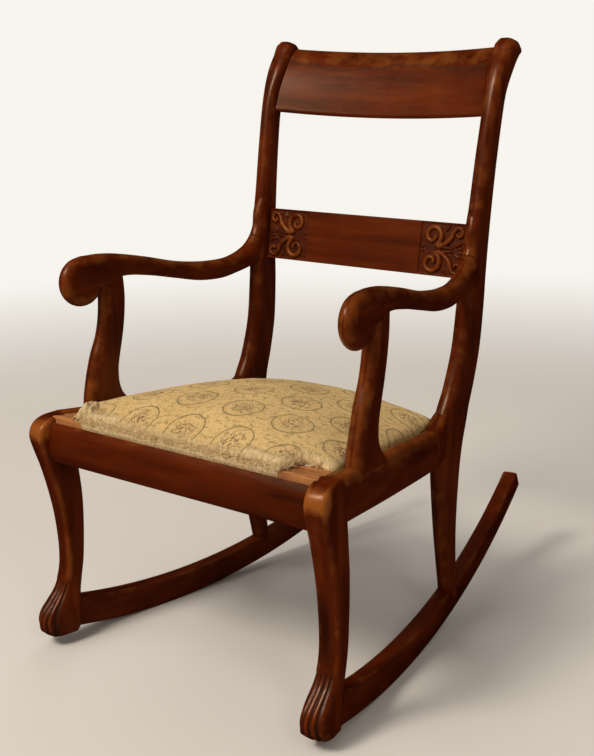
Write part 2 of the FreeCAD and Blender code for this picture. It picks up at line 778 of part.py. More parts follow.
def widened(tools, extra):
    """Sockets for a set of round dowels, wider by the glue line."""
    sockets = []
    for centre, way, length in tools:
        sockets.append(rod(centre, way, dowel_radius + extra, length + 2))
    return sockets


def dowels_of(places):
    """The dowels themselves, split from straight wood with eight flats."""
    dowels = []
    for centre, way, length in places:
        corners = [Vector(dowel_radius * math.cos(math.radians(45 * k)),
                          dowel_radius * math.sin(math.radians(45 * k)), -length / 2) for k in range(9)]
        peg = Part.Face(Part.makePolygon(corners)).extrude(Vector(0, 0, length))
        peg.Placement = FreeCAD.Placement(centre, FreeCAD.Rotation(Vector(0, 0, 1), way))
        dowels.append(peg)
    return dowels


def both_sides(places):
    """Dowel places of the right side, with their mirror images."""
    result = list(places)
    for centre, way, length in places:
        result.append((Vector(-centre.x, centre.y, centre.z), Vector(-way.x, way.y, way.z), length))
    return result


def support_dowel_places():
    """A dowel under each arm support and one at its head."""
    y_foot = support_foot_y + 32
    y_head = support_foot_y + support_head_reach
    foot = side.inner(y_foot, rail_top(y_foot), support_thickness / 2)
    head = arm_plane.inner(y_head, scroll_z - 1, arm_thickness / 2)
    return [(foot, Vector(0, 0, 1), dowel_length), (head, Vector(0, 0, 1), dowel_length * 0.7)]


def rocker_dowel_places():
    """A dowel from the runner's head into the paw and one up into the back leg."""
    y = paw_heel_y
    head = runner.inner(y, sole(y) + rocker_front_depth / 2, rocker_thickness / 2)
    foot_y = stile_foot_y + 14
    foot = Vector(stile_half(stile_foot_z) - stile_thickness / 2, foot_y, rocker_top(foot_y)[1])
    return [(head, runner.way(), dowel_length * 0.8), (foot, Vector(0, 0, 1), dowel_length * 0.9)]


def seat_members():
    """The four members of the seat frame, drawn level with their underside at Z = 0."""
    depth = seat_member_depth
    whole = seat_plan(0, 0, depth)
    front_line = seat_front_y + seat_member_width
    rear_line = seat_rear_y - seat_member_width
    wide = side_front_half
    front = whole.common(block(-wide, wide, seat_front_y - 1, front_line, -1, depth + 1))
    back = whole.common(block(-wide, wide, rear_line, seat_rear_y + 1, -1, depth + 1))
    outer = seat_plan(0, 0, depth).cut(seat_plan(-seat_member_width, -1, depth + 1))
    member = largest(outer.common(block(0, wide, front_line, rear_line, -1, depth + 1)))
    start = front_line - seat_member_width * 0.6
    end = rear_line + seat_member_width * 0.6
    corners = [(seat_half(y) - seat_member_width * share, y)
               for y, share in ((start, 0.75), (start, 0.25), (end, 0.25), (end, 0.75))]
    tongue = faceted([[Vector(x, y, z) for x, y in corners] for z in (depth / 3, depth * 2 / 3)])
    right = largest(member.fuse(tongue)).removeSplitter()
    sockets = [right, mirrored(right)]
    return drilled(front, sockets), drilled(back, sockets), right, mirrored(right)


def webbing_straps():
    """Straps stretched both ways over the seat frame."""
    z = seat_member_depth
    straps = []
    front = seat_front_y + 10
    rear = seat_rear_y - 10
    span = 2 * (seat_half(rear) - 24) - webbing_width
    for k in range(webbing_columns):
        x = -span / 2 + span * k / (webbing_columns - 1)
        straps.append(block(x - webbing_width / 2, x + webbing_width / 2, front, rear,
                            z, z + webbing_thickness))
    lane = (rear - front) / (webbing_rows + 1)
    for k in range(webbing_rows):
        y = front + lane * (k + 1)
        reach = seat_half(y + webbing_width / 2) - 10
        straps.append(block(-reach, reach, y - webbing_width / 2, y + webbing_width / 2,
                            z + webbing_thickness, z + 2 * webbing_thickness))
    return straps


def bare_corners(low, high):
    """Corner pieces at the front where the seat frame shows."""
    half = seat_half(seat_front_y)
    right = block(half - bare_corner_width, half + 20, seat_front_y - 20,
                  seat_front_y + bare_corner_length, low, high)
    return right, mirrored(right)


def crowned(inset, low, rim, crown):
    """A low crowned slab on the seat's plan, rising in flat hips to its middle."""
    steps = [(0.0, low), (0.0, rim), (0.14, 0.58), (0.38, 0.9), (0.7, 1.0)]
    rings = []
    for k, (share, level) in enumerate(steps):
        height = level if k < 2 else rim + (crown - rim) * level
        rings.append(seat_ring(-inset, share, height))
    return faceted(rings)


def make_pad():
    """The stuffing, a crowned cushion that leaves the frame's front corners free."""
    low = seat_member_depth + 2 * webbing_thickness + hessian_thickness
    dome = crowned(2.0, low, low + pad_rim, low + pad_crown)
    return drilled(dome, bare_corners(low - 1, low + pad_crown + 1))


def make_cover():
    """The woven cover: over the stuffing and down the edges of the seat frame."""
    low = seat_member_depth + 2 * webbing_thickness + hessian_thickness
    inner = crowned(2.0, 0, low + pad_rim, low + pad_crown)
    outer = crowned(2.0 - cover_thickness, seat_member_depth, low + pad_rim + cover_thickness,
                    low + pad_crown + cover_thickness)
    shell = outer.cut(inner)
    return drilled(shell, bare_corners(-1, low + pad_crown + 5))


def make_chair():
    """Cut every joint and return the pieces by name, before they are moved home."""
    pocket = tilted(seat_plan(seat_gap, -seat_rest_gap, 120))
    stile = make_stile_blank()
    leg = make_leg_blank()
    rocker = make_rocker_blank()
    side_rail = make_side_rail()
    arm = make_arm_blank()
    support = make_support_blank()
    front_rail = make_front_rail_blank()
    back_rail = make_back_rail_blank()

    rocker = largest(rocker.cut(leg))
    stile = largest(stile.cut(rocker))
    leg = drilled(leg, [side_rail])
    stile = drilled(stile, [side_rail])
    inward = stile.copy()
    inward.translate(Vector(-arm_inset, 0, 0))
    arm = largest(largest(arm.cut(stile)).cut(inward))
    support = largest(support.cut(Part.Compound([arm_stop(), side_rail])))

    floor = seat_floor_front_z - 4
    low = rail_top(leg_rear_y) - front_rail_drop - front_rail_height + tenon_shoulder
    reach = side.half(front_rail_face_y) - leg_thickness + tenon_length
    tongue = through_tongue(front_rail_face_y + front_rail_depth * 0.4, low, floor, reach)
    body = largest(front_rail.cut(Part.Compound([leg, mirrored(leg)])))
    front_rail = largest(body.fuse(tongue)).removeSplitter()
    leg = drilled(leg, [front_rail])

    top = rail_top(back_rail_front_y)
    body = largest(back_rail.cut(stile_stop()).cut(mirrored(stile_stop())))
    reach = stile_half(top) - stile_thickness + tenon_length
    tongue = through_tongue(back_rail_front_y + back_rail_depth / 2,
                          top - back_rail_height + tenon_shoulder / 2, seat_floor(seat_rear_y) - 4, reach)
    back_rail = largest(body.fuse(tongue)).removeSplitter()
    stile = drilled(stile, [back_rail])

    crest_middle = crest_height / 2
    rake = math.radians(crest_rake)
    crest_tongue_y = crest_low_y + crest_middle * math.sin(rake) + crest_thickness * math.cos(rake) * 0.6
    crest_tongue_z = crest_low + crest_middle * math.cos(rake) - crest_thickness * math.sin(rake) * 0.6
    crest_tongue = tenons(crest_tongue_y, crest_tongue_z, crest_rake, crest_height - 3 * tenon_shoulder)
    crest = fit_between_stiles(make_crest_blank(), crest_tongue)

    tongue_y = cross_rail_y + cross_rail_thickness / 2
    cross_tongue = tenons(tongue_y, cross_rail_z, cross_rail_rake, cross_rail_height - 2 * tenon_shoulder)
    cross_rail = fit_between_stiles(make_cross_rail_blank(), cross_tongue)
    stile_x = stile_half(cross_rail_z) - stile_thickness
    ground = make_panel_ground(stile_x)
    carving = make_carving(stile_x - carving_eye)
    cross_rail = drilled(cross_rail, [ground, mirrored(ground)])
    cross_rail = largest(cross_rail.fuse(carving).fuse(mirrored(carving)))
    stile = drilled(stile, [crest, cross_rail])

    leg = largest(leg.cut(pocket))
    side_rail = largest(side_rail.cut(pocket))
    stile = largest(stile.cut(pocket))
    front_rail = largest(front_rail.cut(pocket))
    back_rail = largest(back_rail.cut(pocket))

    block_top = seat_floor(seat_rear_y) - 6
    front_corner_y = front_rail_face_y + front_rail_depth
    front_corner_x = side.half(front_corner_y) - max(leg_thickness, side_rail_thickness)
    rear_corner_x = stile_half(block_top) - stile_thickness
    front_blank = make_corner_block(front_corner_x + 12, front_corner_y, -1, 1,
                                    seat_floor(front_corner_y + corner_block_leg) - 6)
    rear_blank = make_corner_block(rear_corner_x + 12, back_rail_front_y, -1, -1, block_top)
    frame = Part.Compound([leg, side_rail, stile, front_rail, back_rail])
    front_block = largest(front_blank.cut(frame))
    rear_block = largest(rear_blank.cut(frame))

    dowel_sets = {"arm_support_dowels": support_dowel_places(),
                  "runner_dowels": rocker_dowel_places()}
    right_sockets = []
    for places in dowel_sets.values():
        right_sockets += widened(places, glue_line)

    parts = {}
    for name, piece in (("stile", stile), ("front_leg", leg), ("rocker", rocker),
                        ("side_rail", side_rail), ("arm", arm), ("arm_support", support)):
        right = drilled(piece, right_sockets)
        parts["right_" + name] = right
        parts["left_" + name] = mirrored(right)
    parts["front_rail"] = front_rail
    parts["back_rail"] = back_rail
    parts["crest_rail"] = crest
    parts["cross_rail"] = cross_rail
    parts["right_front_corner_block"] = front_block
    parts["left_front_corner_block"] = mirrored(front_block)
    parts["right_back_corner_block"] = rear_block
    parts["left_back_corner_block"] = mirrored(rear_block)
    for name, places in dowel_sets.items():
        parts[name] = group(dowels_of(both_sides(places)))

    front, back, right, left = seat_members()
    for name, piece in (("seat_frame_front", front), ("seat_frame_back", back),
                        ("seat_frame_right", right), ("seat_frame_left", left)):
        parts[name] = tilted(piece)
    parts["seat_webbing"] = tilted(group(webbing_straps()))
    cloth = seat_plan(-8, seat_member_depth + 2 * webbing_thickness,
                      seat_member_depth + 2 * webbing_thickness + hessian_thickness)
    parts["seat_hessian"] = tilted(drilled(cloth, bare_corners(0, 60)))
    parts["seat_stuffing"] = tilted(make_pad())
    parts["seat_cover"] = tilted(make_cover())
    return parts


def main():
    """Build the chair, move it home and write one file for each node."""
    os.makedirs("parts", exist_ok=True)
    parts = make_chair()
    whole = Part.Compound(list(parts.values())).optimalBoundingBox(False, False)
    home = Vector(0, -(whole.YMin + whole.YMax) / 2, -whole.ZMin)
    for name, shape in sorted(parts.items()):
        placed = shape.copy()
        placed.translate(home)
        placed.exportStep("parts/" + name + ".step")
        print(name, placed.isValid(), len(placed.Solids), round(placed.Volume / 1000, 1), "cm3")
    print("move home", home)
    print("size", round(whole.XLength, 1), round(whole.YLength, 1), round(whole.ZLength, 1))


main()
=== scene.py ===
"""A rocking armchair in mahogany with a drop-in seat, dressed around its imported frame.

Sizes are millimetres in the drawing frame of the chair: X across, Y from front to back,
Z up from the floor. Meshes are moved home into the row frame, in metres, when they are made.
"""

import logging
import math
from dataclasses import dataclass
from enum import Enum
from typing import Callable, Sequence

import bmesh
import bpy
import numpy as np
from mathutils import Matrix, Vector, noise
from mathutils.bvhtree import BVHTree


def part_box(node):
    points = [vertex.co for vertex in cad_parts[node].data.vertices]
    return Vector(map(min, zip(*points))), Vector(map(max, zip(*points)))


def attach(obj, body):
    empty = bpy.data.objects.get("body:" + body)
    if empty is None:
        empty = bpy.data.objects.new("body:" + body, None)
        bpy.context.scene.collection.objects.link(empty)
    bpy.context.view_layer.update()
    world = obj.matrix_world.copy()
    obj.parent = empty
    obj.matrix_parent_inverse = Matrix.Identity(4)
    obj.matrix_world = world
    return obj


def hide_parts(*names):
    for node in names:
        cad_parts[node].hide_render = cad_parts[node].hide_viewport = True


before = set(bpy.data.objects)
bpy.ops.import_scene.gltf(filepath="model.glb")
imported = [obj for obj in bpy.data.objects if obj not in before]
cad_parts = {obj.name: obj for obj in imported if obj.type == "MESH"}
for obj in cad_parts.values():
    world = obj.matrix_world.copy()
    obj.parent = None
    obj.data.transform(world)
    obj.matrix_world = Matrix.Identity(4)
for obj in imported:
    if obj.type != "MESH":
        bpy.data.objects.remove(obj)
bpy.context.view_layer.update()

MM = 0.001
FLOOR_LIFT = 0.02
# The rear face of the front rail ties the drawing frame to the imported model.
FRONT_RAIL_REAR_Y = -205.0
HOME_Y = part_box("front_rail")[1].y / MM - FRONT_RAIL_REAR_Y
# Edges sharper than these stay crisp, on shaped pieces and on sawn ones.
SHAPED_CREASE = math.radians(50)
SAWN_CREASE = math.radians(40)
# How far an arc is pulled towards its corner, and how much of a side it may take.
CORNER_PULL = 0.83
CORNER_SHARE = 0.49
# How much of a board's thickness or width its roundings may take.
ROUND_PER_THICKNESS = 0.48
FRONT_ROUND_PER_WIDTH = 0.6
REAR_ROUND_PER_WIDTH = 0.35
LEAST_ROUND = 0.05
# How worn a board's edges are in front, and how much less so at the rear.
EDGE_WEAR = 0.16
EDGE_WEAR_FALL = 0.08
log = logging.getLogger("armchair")

Color = tuple[float, float, float]


class Hand(Enum):
    """The side of the chair that a piece is on, as the sign of its X."""

    RIGHT = 1
    LEFT = -1

    @property
    def word(self) -> str:
        """The side's name as the nodes spell it."""
        return self.name.lower()


def home(points: np.ndarray) -> np.ndarray:
    """Move points from the drawing frame in millimetres to the row frame in metres.

    Args:
        points: An array of points, one in each row.

    Returns:
        The same points in the row frame.
    """
    return (np.asarray(points, float) + (0.0, HOME_Y, FLOOR_LIFT)) * MM


def smooth_step(low: float, high: float, value: np.ndarray) -> np.ndarray:
    """A soft rise from 0 at low to 1 at high."""
    share = np.clip((np.asarray(value, float) - low) / (high - low), 0, 1)
    return share * share * (3 - 2 * share)


def flowing(rows: Sequence[Sequence[float]], spacing: float) -> np.ndarray:
    """Fill in stations along a smooth curve through the given ones.

    Args:
        rows: Stations. The first four columns are the two edge points of a section.
        spacing: Distance between stations along the middle line.

    Returns:
        An array of stations with the same columns.
    """
    table = np.array(rows, float)
    middle = (table[:, 0:2] + table[:, 2:4]) / 2
    knots = np.concatenate([[0.0], np.cumsum(np.linalg.norm(np.diff(middle, axis=0), axis=1))])
    slopes = np.empty_like(table)
    slopes[1:-1] = (table[2:] - table[:-2]) / (knots[2:] - knots[:-2])[:, None]
    slopes[0] = (table[1] - table[0]) / (knots[1] - knots[0])
    slopes[-1] = (table[-1] - table[-2]) / (knots[-1] - knots[-2])
    places = np.linspace(0, knots[-1], max(2, round(knots[-1] / spacing) + 1))
    cell = np.clip(np.searchsorted(knots, places, side="right") - 1, 0, len(knots) - 2)
    length = (knots[cell + 1] - knots[cell])[:, None]
    share = (places[:, None] - knots[cell][:, None]) / length
    return ((2 * share ** 3 - 3 * share ** 2 + 1) * table[cell]
            + (share ** 3 - 2 * share ** 2 + share) * length * slopes[cell]
            + (3 * share ** 2 - 2 * share ** 3) * table[cell + 1]
            + (share ** 3 - share ** 2) * length * slopes[cell + 1])


def rounded_ring(corners: Sequence[Sequence[float]], arc_steps: int = 4,
                 flat_steps: int = 3) -> tuple[np.ndarray, np.ndarray]:
    """Round the corners of a polygon.

    Args:
        corners: Points (u, v, radius) in order. A radius of 0 keeps a point as it is.
        arc_steps: Steps in each rounded corner.
        flat_steps: Steps between one corner and the next.

    Returns:
        The ring's points, and a weight of 1 for those that lie on a rounded corner.
    """
    count = len(corners)
    points, weights, stretches = [], [], []
    for k, (u, v, radius) in enumerate(corners):
        here = np.array((u, v))
        before = np.array(corners[k - 1][:2]) - here
        after = np.array(corners[(k + 1) % count][:2]) - here
        if radius <= 0:
            stretches.append([here])
            continue
        far_before, far_after = np.linalg.norm(before), np.linalg.norm(after)
        before, after = before / max(far_before, 1e-9), after / max(far_after, 1e-9)
        half = math.acos(max(-1.0, min(1.0, float(before @ after)))) / 2
        reach = min(radius / math.tan(half), CORNER_SHARE * far_before, CORNER_SHARE * far_after)
        start, end = here + before * reach, here + after * reach
        arc = []
        for step in range(arc_steps + 1):
            share = step / arc_steps
            bend = 2 * share * (1 - share) * CORNER_PULL
            arc.append(start * ((1 - share) - bend / 2) + end * (share - bend / 2) + here * bend)
        stretches.append(arc)
    for k, stretch in enumerate(stretches):
        points += stretch
        weights += [1.0 if len(stretch) > 1 else 0.0] * len(stretch)
        following = stretches[(k + 1) % count][0]
        for step in range(1, flat_steps):
            points.append(stretch[-1] + (following - stretch[-1]) * step / flat_steps)
            weights.append(0.0)
    return np.array(points), np.array(weights)


def grid_faces(rows: int, cols: int) -> list[tuple[int, ...]]:
    """Faces between the points of a grid.

    Args:
        rows: Rows of points.
        cols: Points in each row.

    Returns:
        Point numbers of each face.
    """
    corners = (r * cols + c for r in range(rows - 1) for c in range(cols - 1))
    return [(a, a + 1, a + 1 + cols, a + cols) for a in corners]


def band(low: int, size: int) -> list[tuple[int, ...]]:
    """Faces between two closed rows of points, of which the first starts at a number."""
    return [(low + k, low + (k + 1) % size, low + size + (k + 1) % size, low + size + k) for k in range(size)]


def fan(low: int, size: int, tip: int) -> list[tuple[int, ...]]:
    """Faces between a closed row of points, which starts at a number, and one point."""
    return [(low + k, low + (k + 1) % size, tip) for k in range(size)]


def closed_rows(rows: int, size: int) -> list[tuple[int, ...]]:
    """Faces between closed rows of points, and from the last row to the one point after it."""
    faces = [face for row in range(rows - 1) for face in band(row * size, size)]
    return faces + fan((rows - 1) * size, size, rows * size)


class Skin:
    """Points, faces and wear of a piece while it is made, in millimetres."""

    def __init__(self) -> None:
        """Start with nothing."""
        self.points: list[np.ndarray] = []
        self.wear: list[float] = []
        self.faces: list[tuple[int, ...]] = []
        # Darkening in the hollows: dirt and painted shade.
        self.grime: np.ndarray | None = None

    def loft(self, rings: Sequence[np.ndarray], wear: Sequence[np.ndarray]) -> "Skin":
        """Add a closed skin through rings of equal length, with a cap at each end.

        Args:
            rings: Rings of points.
            wear: Weights of the same points, 1 where hands and cloths rub.

        Returns:
            The skin itself.
        """
        first, size = len(self.points), len(rings[0])
        for ring, weights in zip(rings, wear):
            self.points += list(ring)
            self.wear += list(weights)
        for level in range(len(rings) - 1):
            self.faces += band(first + level * size, size)
        last = first + (len(rings) - 1) * size
        for ring, weights, low in ((rings[0], wear[0], first), (rings[-1], wear[-1], last)):
            self.faces += fan(low, size, len(self.points))
            self.points.append(np.mean(ring, axis=0))
            self.wear.append(float(np.mean(weights)))
        return self

    def piece(self, name: str, hand: Hand = Hand.RIGHT) -> bpy.types.Object:
        """Turn the skin into an object with its place in its mesh.

        Args:
            name: The piece's name.
            hand: The side of the chair. A left piece mirrors a right one.

        Returns:
            The new object.
        """
        points = np.array(self.points)
        points[:, 0] *= hand.value
        weights = {"wear": np.array(self.wear)}
        if self.grime is not None:
            weights["grime"] = self.grime
        return mesh_piece(name, home(points), self.faces, **weights)


def add_object(name: str, data: bpy.types.ID) -> bpy.types.Object:
    """Put data into the scene.

    Args:
        name: The object's name.
        data: A mesh, a lamp or a camera.

    Returns:
        The new object.
    """
    made = bpy.data.objects.new(name, data)
    bpy.context.scene.collection.objects.link(made)
    return made


def mesh_piece(name: str, points: np.ndarray, faces: Sequence[tuple[int, ...]],
               weld: float = 0.00001, **weights: np.ndarray) -> bpy.types.Object:
    """Make a smooth-shaded object with its faces turned outwards.

    Args:
        name: The piece's name.
        points: Points in the row frame, in metres.
        faces: Point numbers of each face.
        weld: Points nearer than this become one.
        weights: Numbers for the finish by name, one for each point.

    Returns:
        The new object, linked to the scene.
    """
    mesh = bpy.data.meshes.new(name)
    mesh.from_pydata([tuple(p) for p in points], [], [tuple(f) for f in faces])
    for key, values in weights.items():
        layer = mesh.attributes.new(key, "FLOAT", "POINT")
        layer.data.foreach_set("value", np.asarray(values, np.float32))
    work = bmesh.new()
    work.from_mesh(mesh)
    bmesh.ops.remove_doubles(work, verts=work.verts, dist=weld)
    bmesh.ops.dissolve_degenerate(work, edges=work.edges, dist=weld / 2)
    bmesh.ops.recalc_face_normals(work, faces=work.faces)
    work.to_mesh(mesh)
    work.free()
    mesh.shade_smooth()
    mesh.set_sharp_from_angle(angle=SHAPED_CREASE)
    return add_object(name, mesh)


def settle(piece: bpy.types.Object, body: str, material: bpy.types.Material,
           nodes: Sequence[str] = ()) -> bpy.types.Object:
    """Give a piece its finish, hang it on its body and hide the nodes that it stands for.

    Args:
        piece: The object.
        body: The body that it rides on.
        material: Its finish.
        nodes: The nodes that it stands for.

    Returns:
        The same object.
    """
    piece.data.materials.clear()
    piece.data.materials.append(material)
    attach(piece, body)
    if nodes:
        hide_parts(*nodes)
    log.info("%s: %d faces", piece.name, len(piece.data.polygons))
    return piece


def bevelled_copy(node: str, name: str, width: float) -> bpy.types.Object:
    """A copy of a node's mesh with its edges softened.

    Args:
        node: The node to copy.
        name: The copy's name.
        width: Width of the softened edge, in millimetres.

    Returns:
        The copy.
    """
    made = add_object(name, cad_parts[node].data.copy())
    work = bmesh.new()
    work.from_mesh(made.data)
    bmesh.ops.remove_doubles(work, verts=work.verts, dist=0.00002)
    bmesh.ops.dissolve_limit(work, angle_limit=math.radians(1), verts=work.verts, edges=work.edges)
    work.to_mesh(made.data)
    work.free()
    bevel = made.modifiers.new("soft edges", "BEVEL")
    bevel.width = width * MM
    bevel.segments = 2
    bevel.limit_method = "ANGLE"
    bevel.angle_limit = SAWN_CREASE
    bevel.use_clamp_overlap = True
    made.data.shade_smooth()
    made.data.set_sharp_from_angle(angle=SAWN_CREASE)
    return made


def thicken(piece: bpy.types.Object, thickness: float, side: float) -> None:
    """Give a one-sided skin its thickness.

    Args:
        piece: The skin.
        thickness: In metres.
        side: 1 to grow outwards and -1 to grow inwards.
    """
    modifier = piece.modifiers.new("thickness", "SOLIDIFY")
    modifier.thickness = thickness
    modifier.offset = side


def lay_cloth(piece: bpy.types.Object, places: np.ndarray) -> None:
    """Keep where each point lies on the flat cloth, in metres, for the woven pattern."""
    layer = piece.data.attributes.new("cloth", "FLOAT_VECTOR", "POINT")
    layer.data.foreach_set("vector", places.ravel().astype(np.float32))


def new_node(tree: bpy.types.NodeTree, kind: str, settings: dict | None,
             values: dict[str, object]) -> bpy.types.Node:
    """Add a node to a shader or geometry tree.

    Args:
        tree: The tree.
        kind: The node's full type.
        settings: Its own settings, which are set first. A ramp takes stops as (place, colour) pairs.
        values: Numbers, colours or outputs for its inputs, by name with _ for a space.

    Returns:
        The node.
    """
    made = tree.nodes.new(kind)
    for key, value in (settings or {}).items():
        if key == "stops":
            ramp = made.color_ramp.elements
            while len(ramp) < len(value):
                ramp.new(0.5)
            for element, (place, color) in zip(ramp, value):
                element.position = place
                element.color = (*color, 1.0)
        else:
            setattr(made, key, value)
    for key, value in values.items():
        wanted = key.replace("_", " ")
        place = next(s for s in made.inputs if s.enabled and s.name == wanted)
        if isinstance(value, bpy.types.NodeSocket):
            tree.links.new(value, place)
        else:
            place.default_value = value
    return made


class Tap:
    """A socket of a shader tree that takes part in arithmetic."""

    def __init__(self, tree: bpy.types.NodeTree, socket: bpy.types.NodeSocket) -> None:
        """Wrap an output socket of a tree."""
        self.tree = tree
        self.socket = socket

    def _math(self, operation: str, *values: "Tap | float") -> "Tap":
        """Add one Math node.

        Args:
            operation: What it does.
            values: Numbers or taps of its inputs.

        Returns:
            Its result.
        """
        node = self.tree.nodes.new("ShaderNodeMath")
        node.operation = operation
        for place, value in zip(node.inputs, values):
            if isinstance(value, Tap):
                self.tree.links.new(value.socket, place)
            else:
                place.default_value = value
        return Tap(self.tree, node.outputs[0])

    def __add__(self, other: "Tap | float") -> "Tap":
        """Sum."""
        return self._math("ADD", self, other)

    def __radd__(self, other: float) -> "Tap":
        """Sum with a number in front."""
        return self._math("ADD", other, self)

    def __sub__(self, other: "Tap | float") -> "Tap":
        """Difference."""
        return self._math("SUBTRACT", self, other)

    def __rsub__(self, other: float) -> "Tap":
        """Difference with a number in front."""
        return self._math("SUBTRACT", other, self)

    def __mul__(self, other: "Tap | float") -> "Tap":
        """Product."""
        return self._math("MULTIPLY", self, other)

    def __rmul__(self, other: float) -> "Tap":
        """Product with a number in front."""
        return self._math("MULTIPLY", other, self)

    def __pow__(self, other: float) -> "Tap":
        """Power."""
        return self._math("POWER", self, other)

    def limited(self) -> "Tap":
        """Keep the value between 0 and 1.

        Returns:
            The clamped value.
        """
        node = self.tree.nodes.new("ShaderNodeClamp")
        self.tree.links.new(self.socket, node.inputs[0])
        return Tap(self.tree, node.outputs[0])


class Finish:
    """A material while its nodes are laid out."""

    def __init__(self, name: str) -> None:
        """Start a material with one shader.

        Args:
            name: The material's name.
        """
        self.material = bpy.data.materials.new(name)
        self.material.use_nodes = True
        self.tree = self.material.node_tree
        self.shader = self.tree.nodes["Principled BSDF"]

    def node(self, kind: str, settings: dict | None = None, output: int | str = 0,
             **values: object) -> Tap:
        """Add any node.

        Args:
            kind: The node's type, without its ShaderNode prefix.
            settings: Its own settings.
            output: The output that is returned.
            values: Numbers, colours or taps of its inputs, by name with _ for a space.

        Returns:
            The chosen output.
        """
        filled = {key: value.socket if isinstance(value, Tap) else value for key, value in values.items()}
        return Tap(self.tree, new_node(self.tree, "ShaderNode" + kind, settings, filled).outputs[output])

    def mixed(self, factor: Tap | float, first: Tap | Color, second: Tap | Color) -> Tap:
        """Mix two colours.

        Args:
            factor: Share of the second colour.
            first: A colour or a link.
            second: A colour or a link.

        Returns:
            The mixed colour.
        """
        made = self.tree.nodes.new("ShaderNodeMix")
        made.data_type = "RGBA"
        for place, value in ((made.inputs[0], factor), (made.inputs[6], first), (made.inputs[7], second)):
            if isinstance(value, Tap):
                self.tree.links.new(value.socket, place)
            elif isinstance(value, tuple):
                place.default_value = (*value, 1.0)
            else:
                place.default_value = value
        return Tap(self.tree, made.outputs[2])

    def noise(self, place: Tap, scale: float, detail: float = 3.0, rough: float = 0.5) -> Tap:
        """Noise at a scale in features per metre."""
        return self.node("TexNoise", Vector=place, Scale=scale, Detail=detail, Roughness=rough)

    def place(self, scale: tuple[float, float, float] = (1, 1, 1)) -> Tap:
        """Object coordinates, scaled."""
        return self.node("Mapping", Vector=self.node("TexCoord", output="Object"), Scale=scale)

    def parts(self, place: Tap) -> tuple[Tap, Tap]:
        """The X and the Y of a place."""
        split = new_node(self.tree, "ShaderNodeSeparateXYZ", None, {"Vector": place.socket})
        return Tap(self.tree, split.outputs[0]), Tap(self.tree, split.outputs[1])

    def wave(self, value: Tap) -> Tap:
        """The sine of a value."""
        return self.node("Math", {"operation": "SINE"}, Value=value)

    def size(self, value: Tap) -> Tap:
        """A value without its sign."""
        return self.node("Math", {"operation": "ABSOLUTE"}, Value=value)

    def attribute(self, name: str) -> Tap:
        """A number that the mesh carries at its points."""
        return self.node("Attribute", {"attribute_name": name}, output="Fac")

    def ramp(self, value: Tap, stops: Sequence[tuple[float, Color]]) -> Tap:
        """Colours by value."""
        return self.node("ValToRGB", {"stops": stops}, Fac=value)

    def surface(self, color: Tap | tuple, roughness: Tap | float, bump: Tap | None = None,
                depth: float = 0.001, **fixed: float | tuple) -> bpy.types.Material:
        """Connect the shader.

        Args:
            color: Base colour.
            roughness: A number or a link.
            bump: Height of the surface's relief, or nothing.
            depth: Distance in metres that a height of 1 stands for.
            fixed: Values set on the shader's own sockets, with _ for a space.

        Returns:
            The finished material.
        """
        for name, value in (("Base Color", color), ("Roughness", roughness)):
            if isinstance(value, Tap):
                self.tree.links.new(value.socket, self.shader.inputs[name])
            else:
                self.shader.inputs[name].default_value = value
        for name, value in fixed.items():
            self.shader.inputs[name.replace("_", " ")].default_value = value
        if bump is not None:
            normal = self.node("Bump", output="Normal", Height=bump, Distance=depth, Strength=1.0)
            self.tree.links.new(normal.socket, self.shader.inputs["Normal"])
        return self.material


class Grain(Enum):
    """The direction that a board's grain runs in, as scales of the object's axes."""

    ACROSS = (1.0, 11.0, 11.0)
    DEEP = (11.0, 1.0, 11.0)
    UPRIGHT = (11.0, 11.0, 1.0)


@dataclass(frozen=True)
class Mahogany:
    """Red-brown polished mahogany, darker in its hollows with dirt and painted shade, and rubbed bright on
    its edges.
    """

    name: str
    grain: Grain
    dark: Color = (0.024, 0.0034, 0.0003)
    middle: Color = (0.068, 0.0076, 0.0003)
    light: Color = (0.125, 0.0180, 0.0009)
    rubbed: Color = (0.300, 0.0860, 0.0130)
    # Colour of the dirt and painted shade in the hollows.
    dirt: Color = (0.012, 0.005, 0.003)
    roughness: float = 0.33
    shine: float = 0.30
    shine_tint: Color = (1.0, 0.62, 0.36)
    lacquer: float = 0.09
    lacquer_roughness: float = 0.22
    relief_depth: float = 0.00025

    def material(self) -> bpy.types.Material:
        """Lay out the finish.

        Returns:
            The material.
        """
        f = Finish(self.name)
        axes = self.grain.value
        slow = f.place(scale=axes)
        wander = f.noise(f.place(), 9.0, 2.0)
        streaks = f.noise(slow, 9.0, 5.0, 0.62)
        bands = f.noise(slow, 2.6, 2.0, 0.5)
        pores = f.noise(f.place(scale=tuple(3.2 * a for a in axes)), 42.0, 2.0, 0.7)
        tone = (streaks * 0.55 + bands * 0.55 + wander * 0.35 - 0.22).limited()
        wood = f.ramp(tone, [(0.28, self.dark), (0.50, self.middle), (0.78, self.light)])
        pore = ((pores - 0.56) * 6.0).limited()
        wood = f.mixed(pore * 0.55, wood, self.dark)
        patches = f.noise(f.place(), 34.0, 4.0, 0.65)
        rub = ((f.attribute("wear") * 1.3 + patches * 1.3 - 0.98) * 1.5).limited()
        color = f.mixed(rub * 0.62, wood, self.rubbed)
        # Hollows darkened with dirt and painted shade, which also dull the polish.
        grime = (f.attribute("grime") * 1.1).limited()
        color = f.mixed(grime * 0.8, color, self.dirt)
        dull = f.noise(f.place(), 30.0, 3.0, 0.6)
        roughness = (self.roughness + dull * 0.16 - 0.08 + grime * 0.25 + pore * 0.12).limited()
        relief = streaks * 0.2 - pore * 0.25 + f.noise(f.place(), 22.0, 2.0) * 0.9
        return f.surface(color, roughness, relief, self.relief_depth, Specular_IOR_Level=self.shine,
                         Specular_Tint=(*self.shine_tint, 1.0), Coat_Weight=self.lacquer,
                         Coat_Roughness=self.lacquer_roughness)


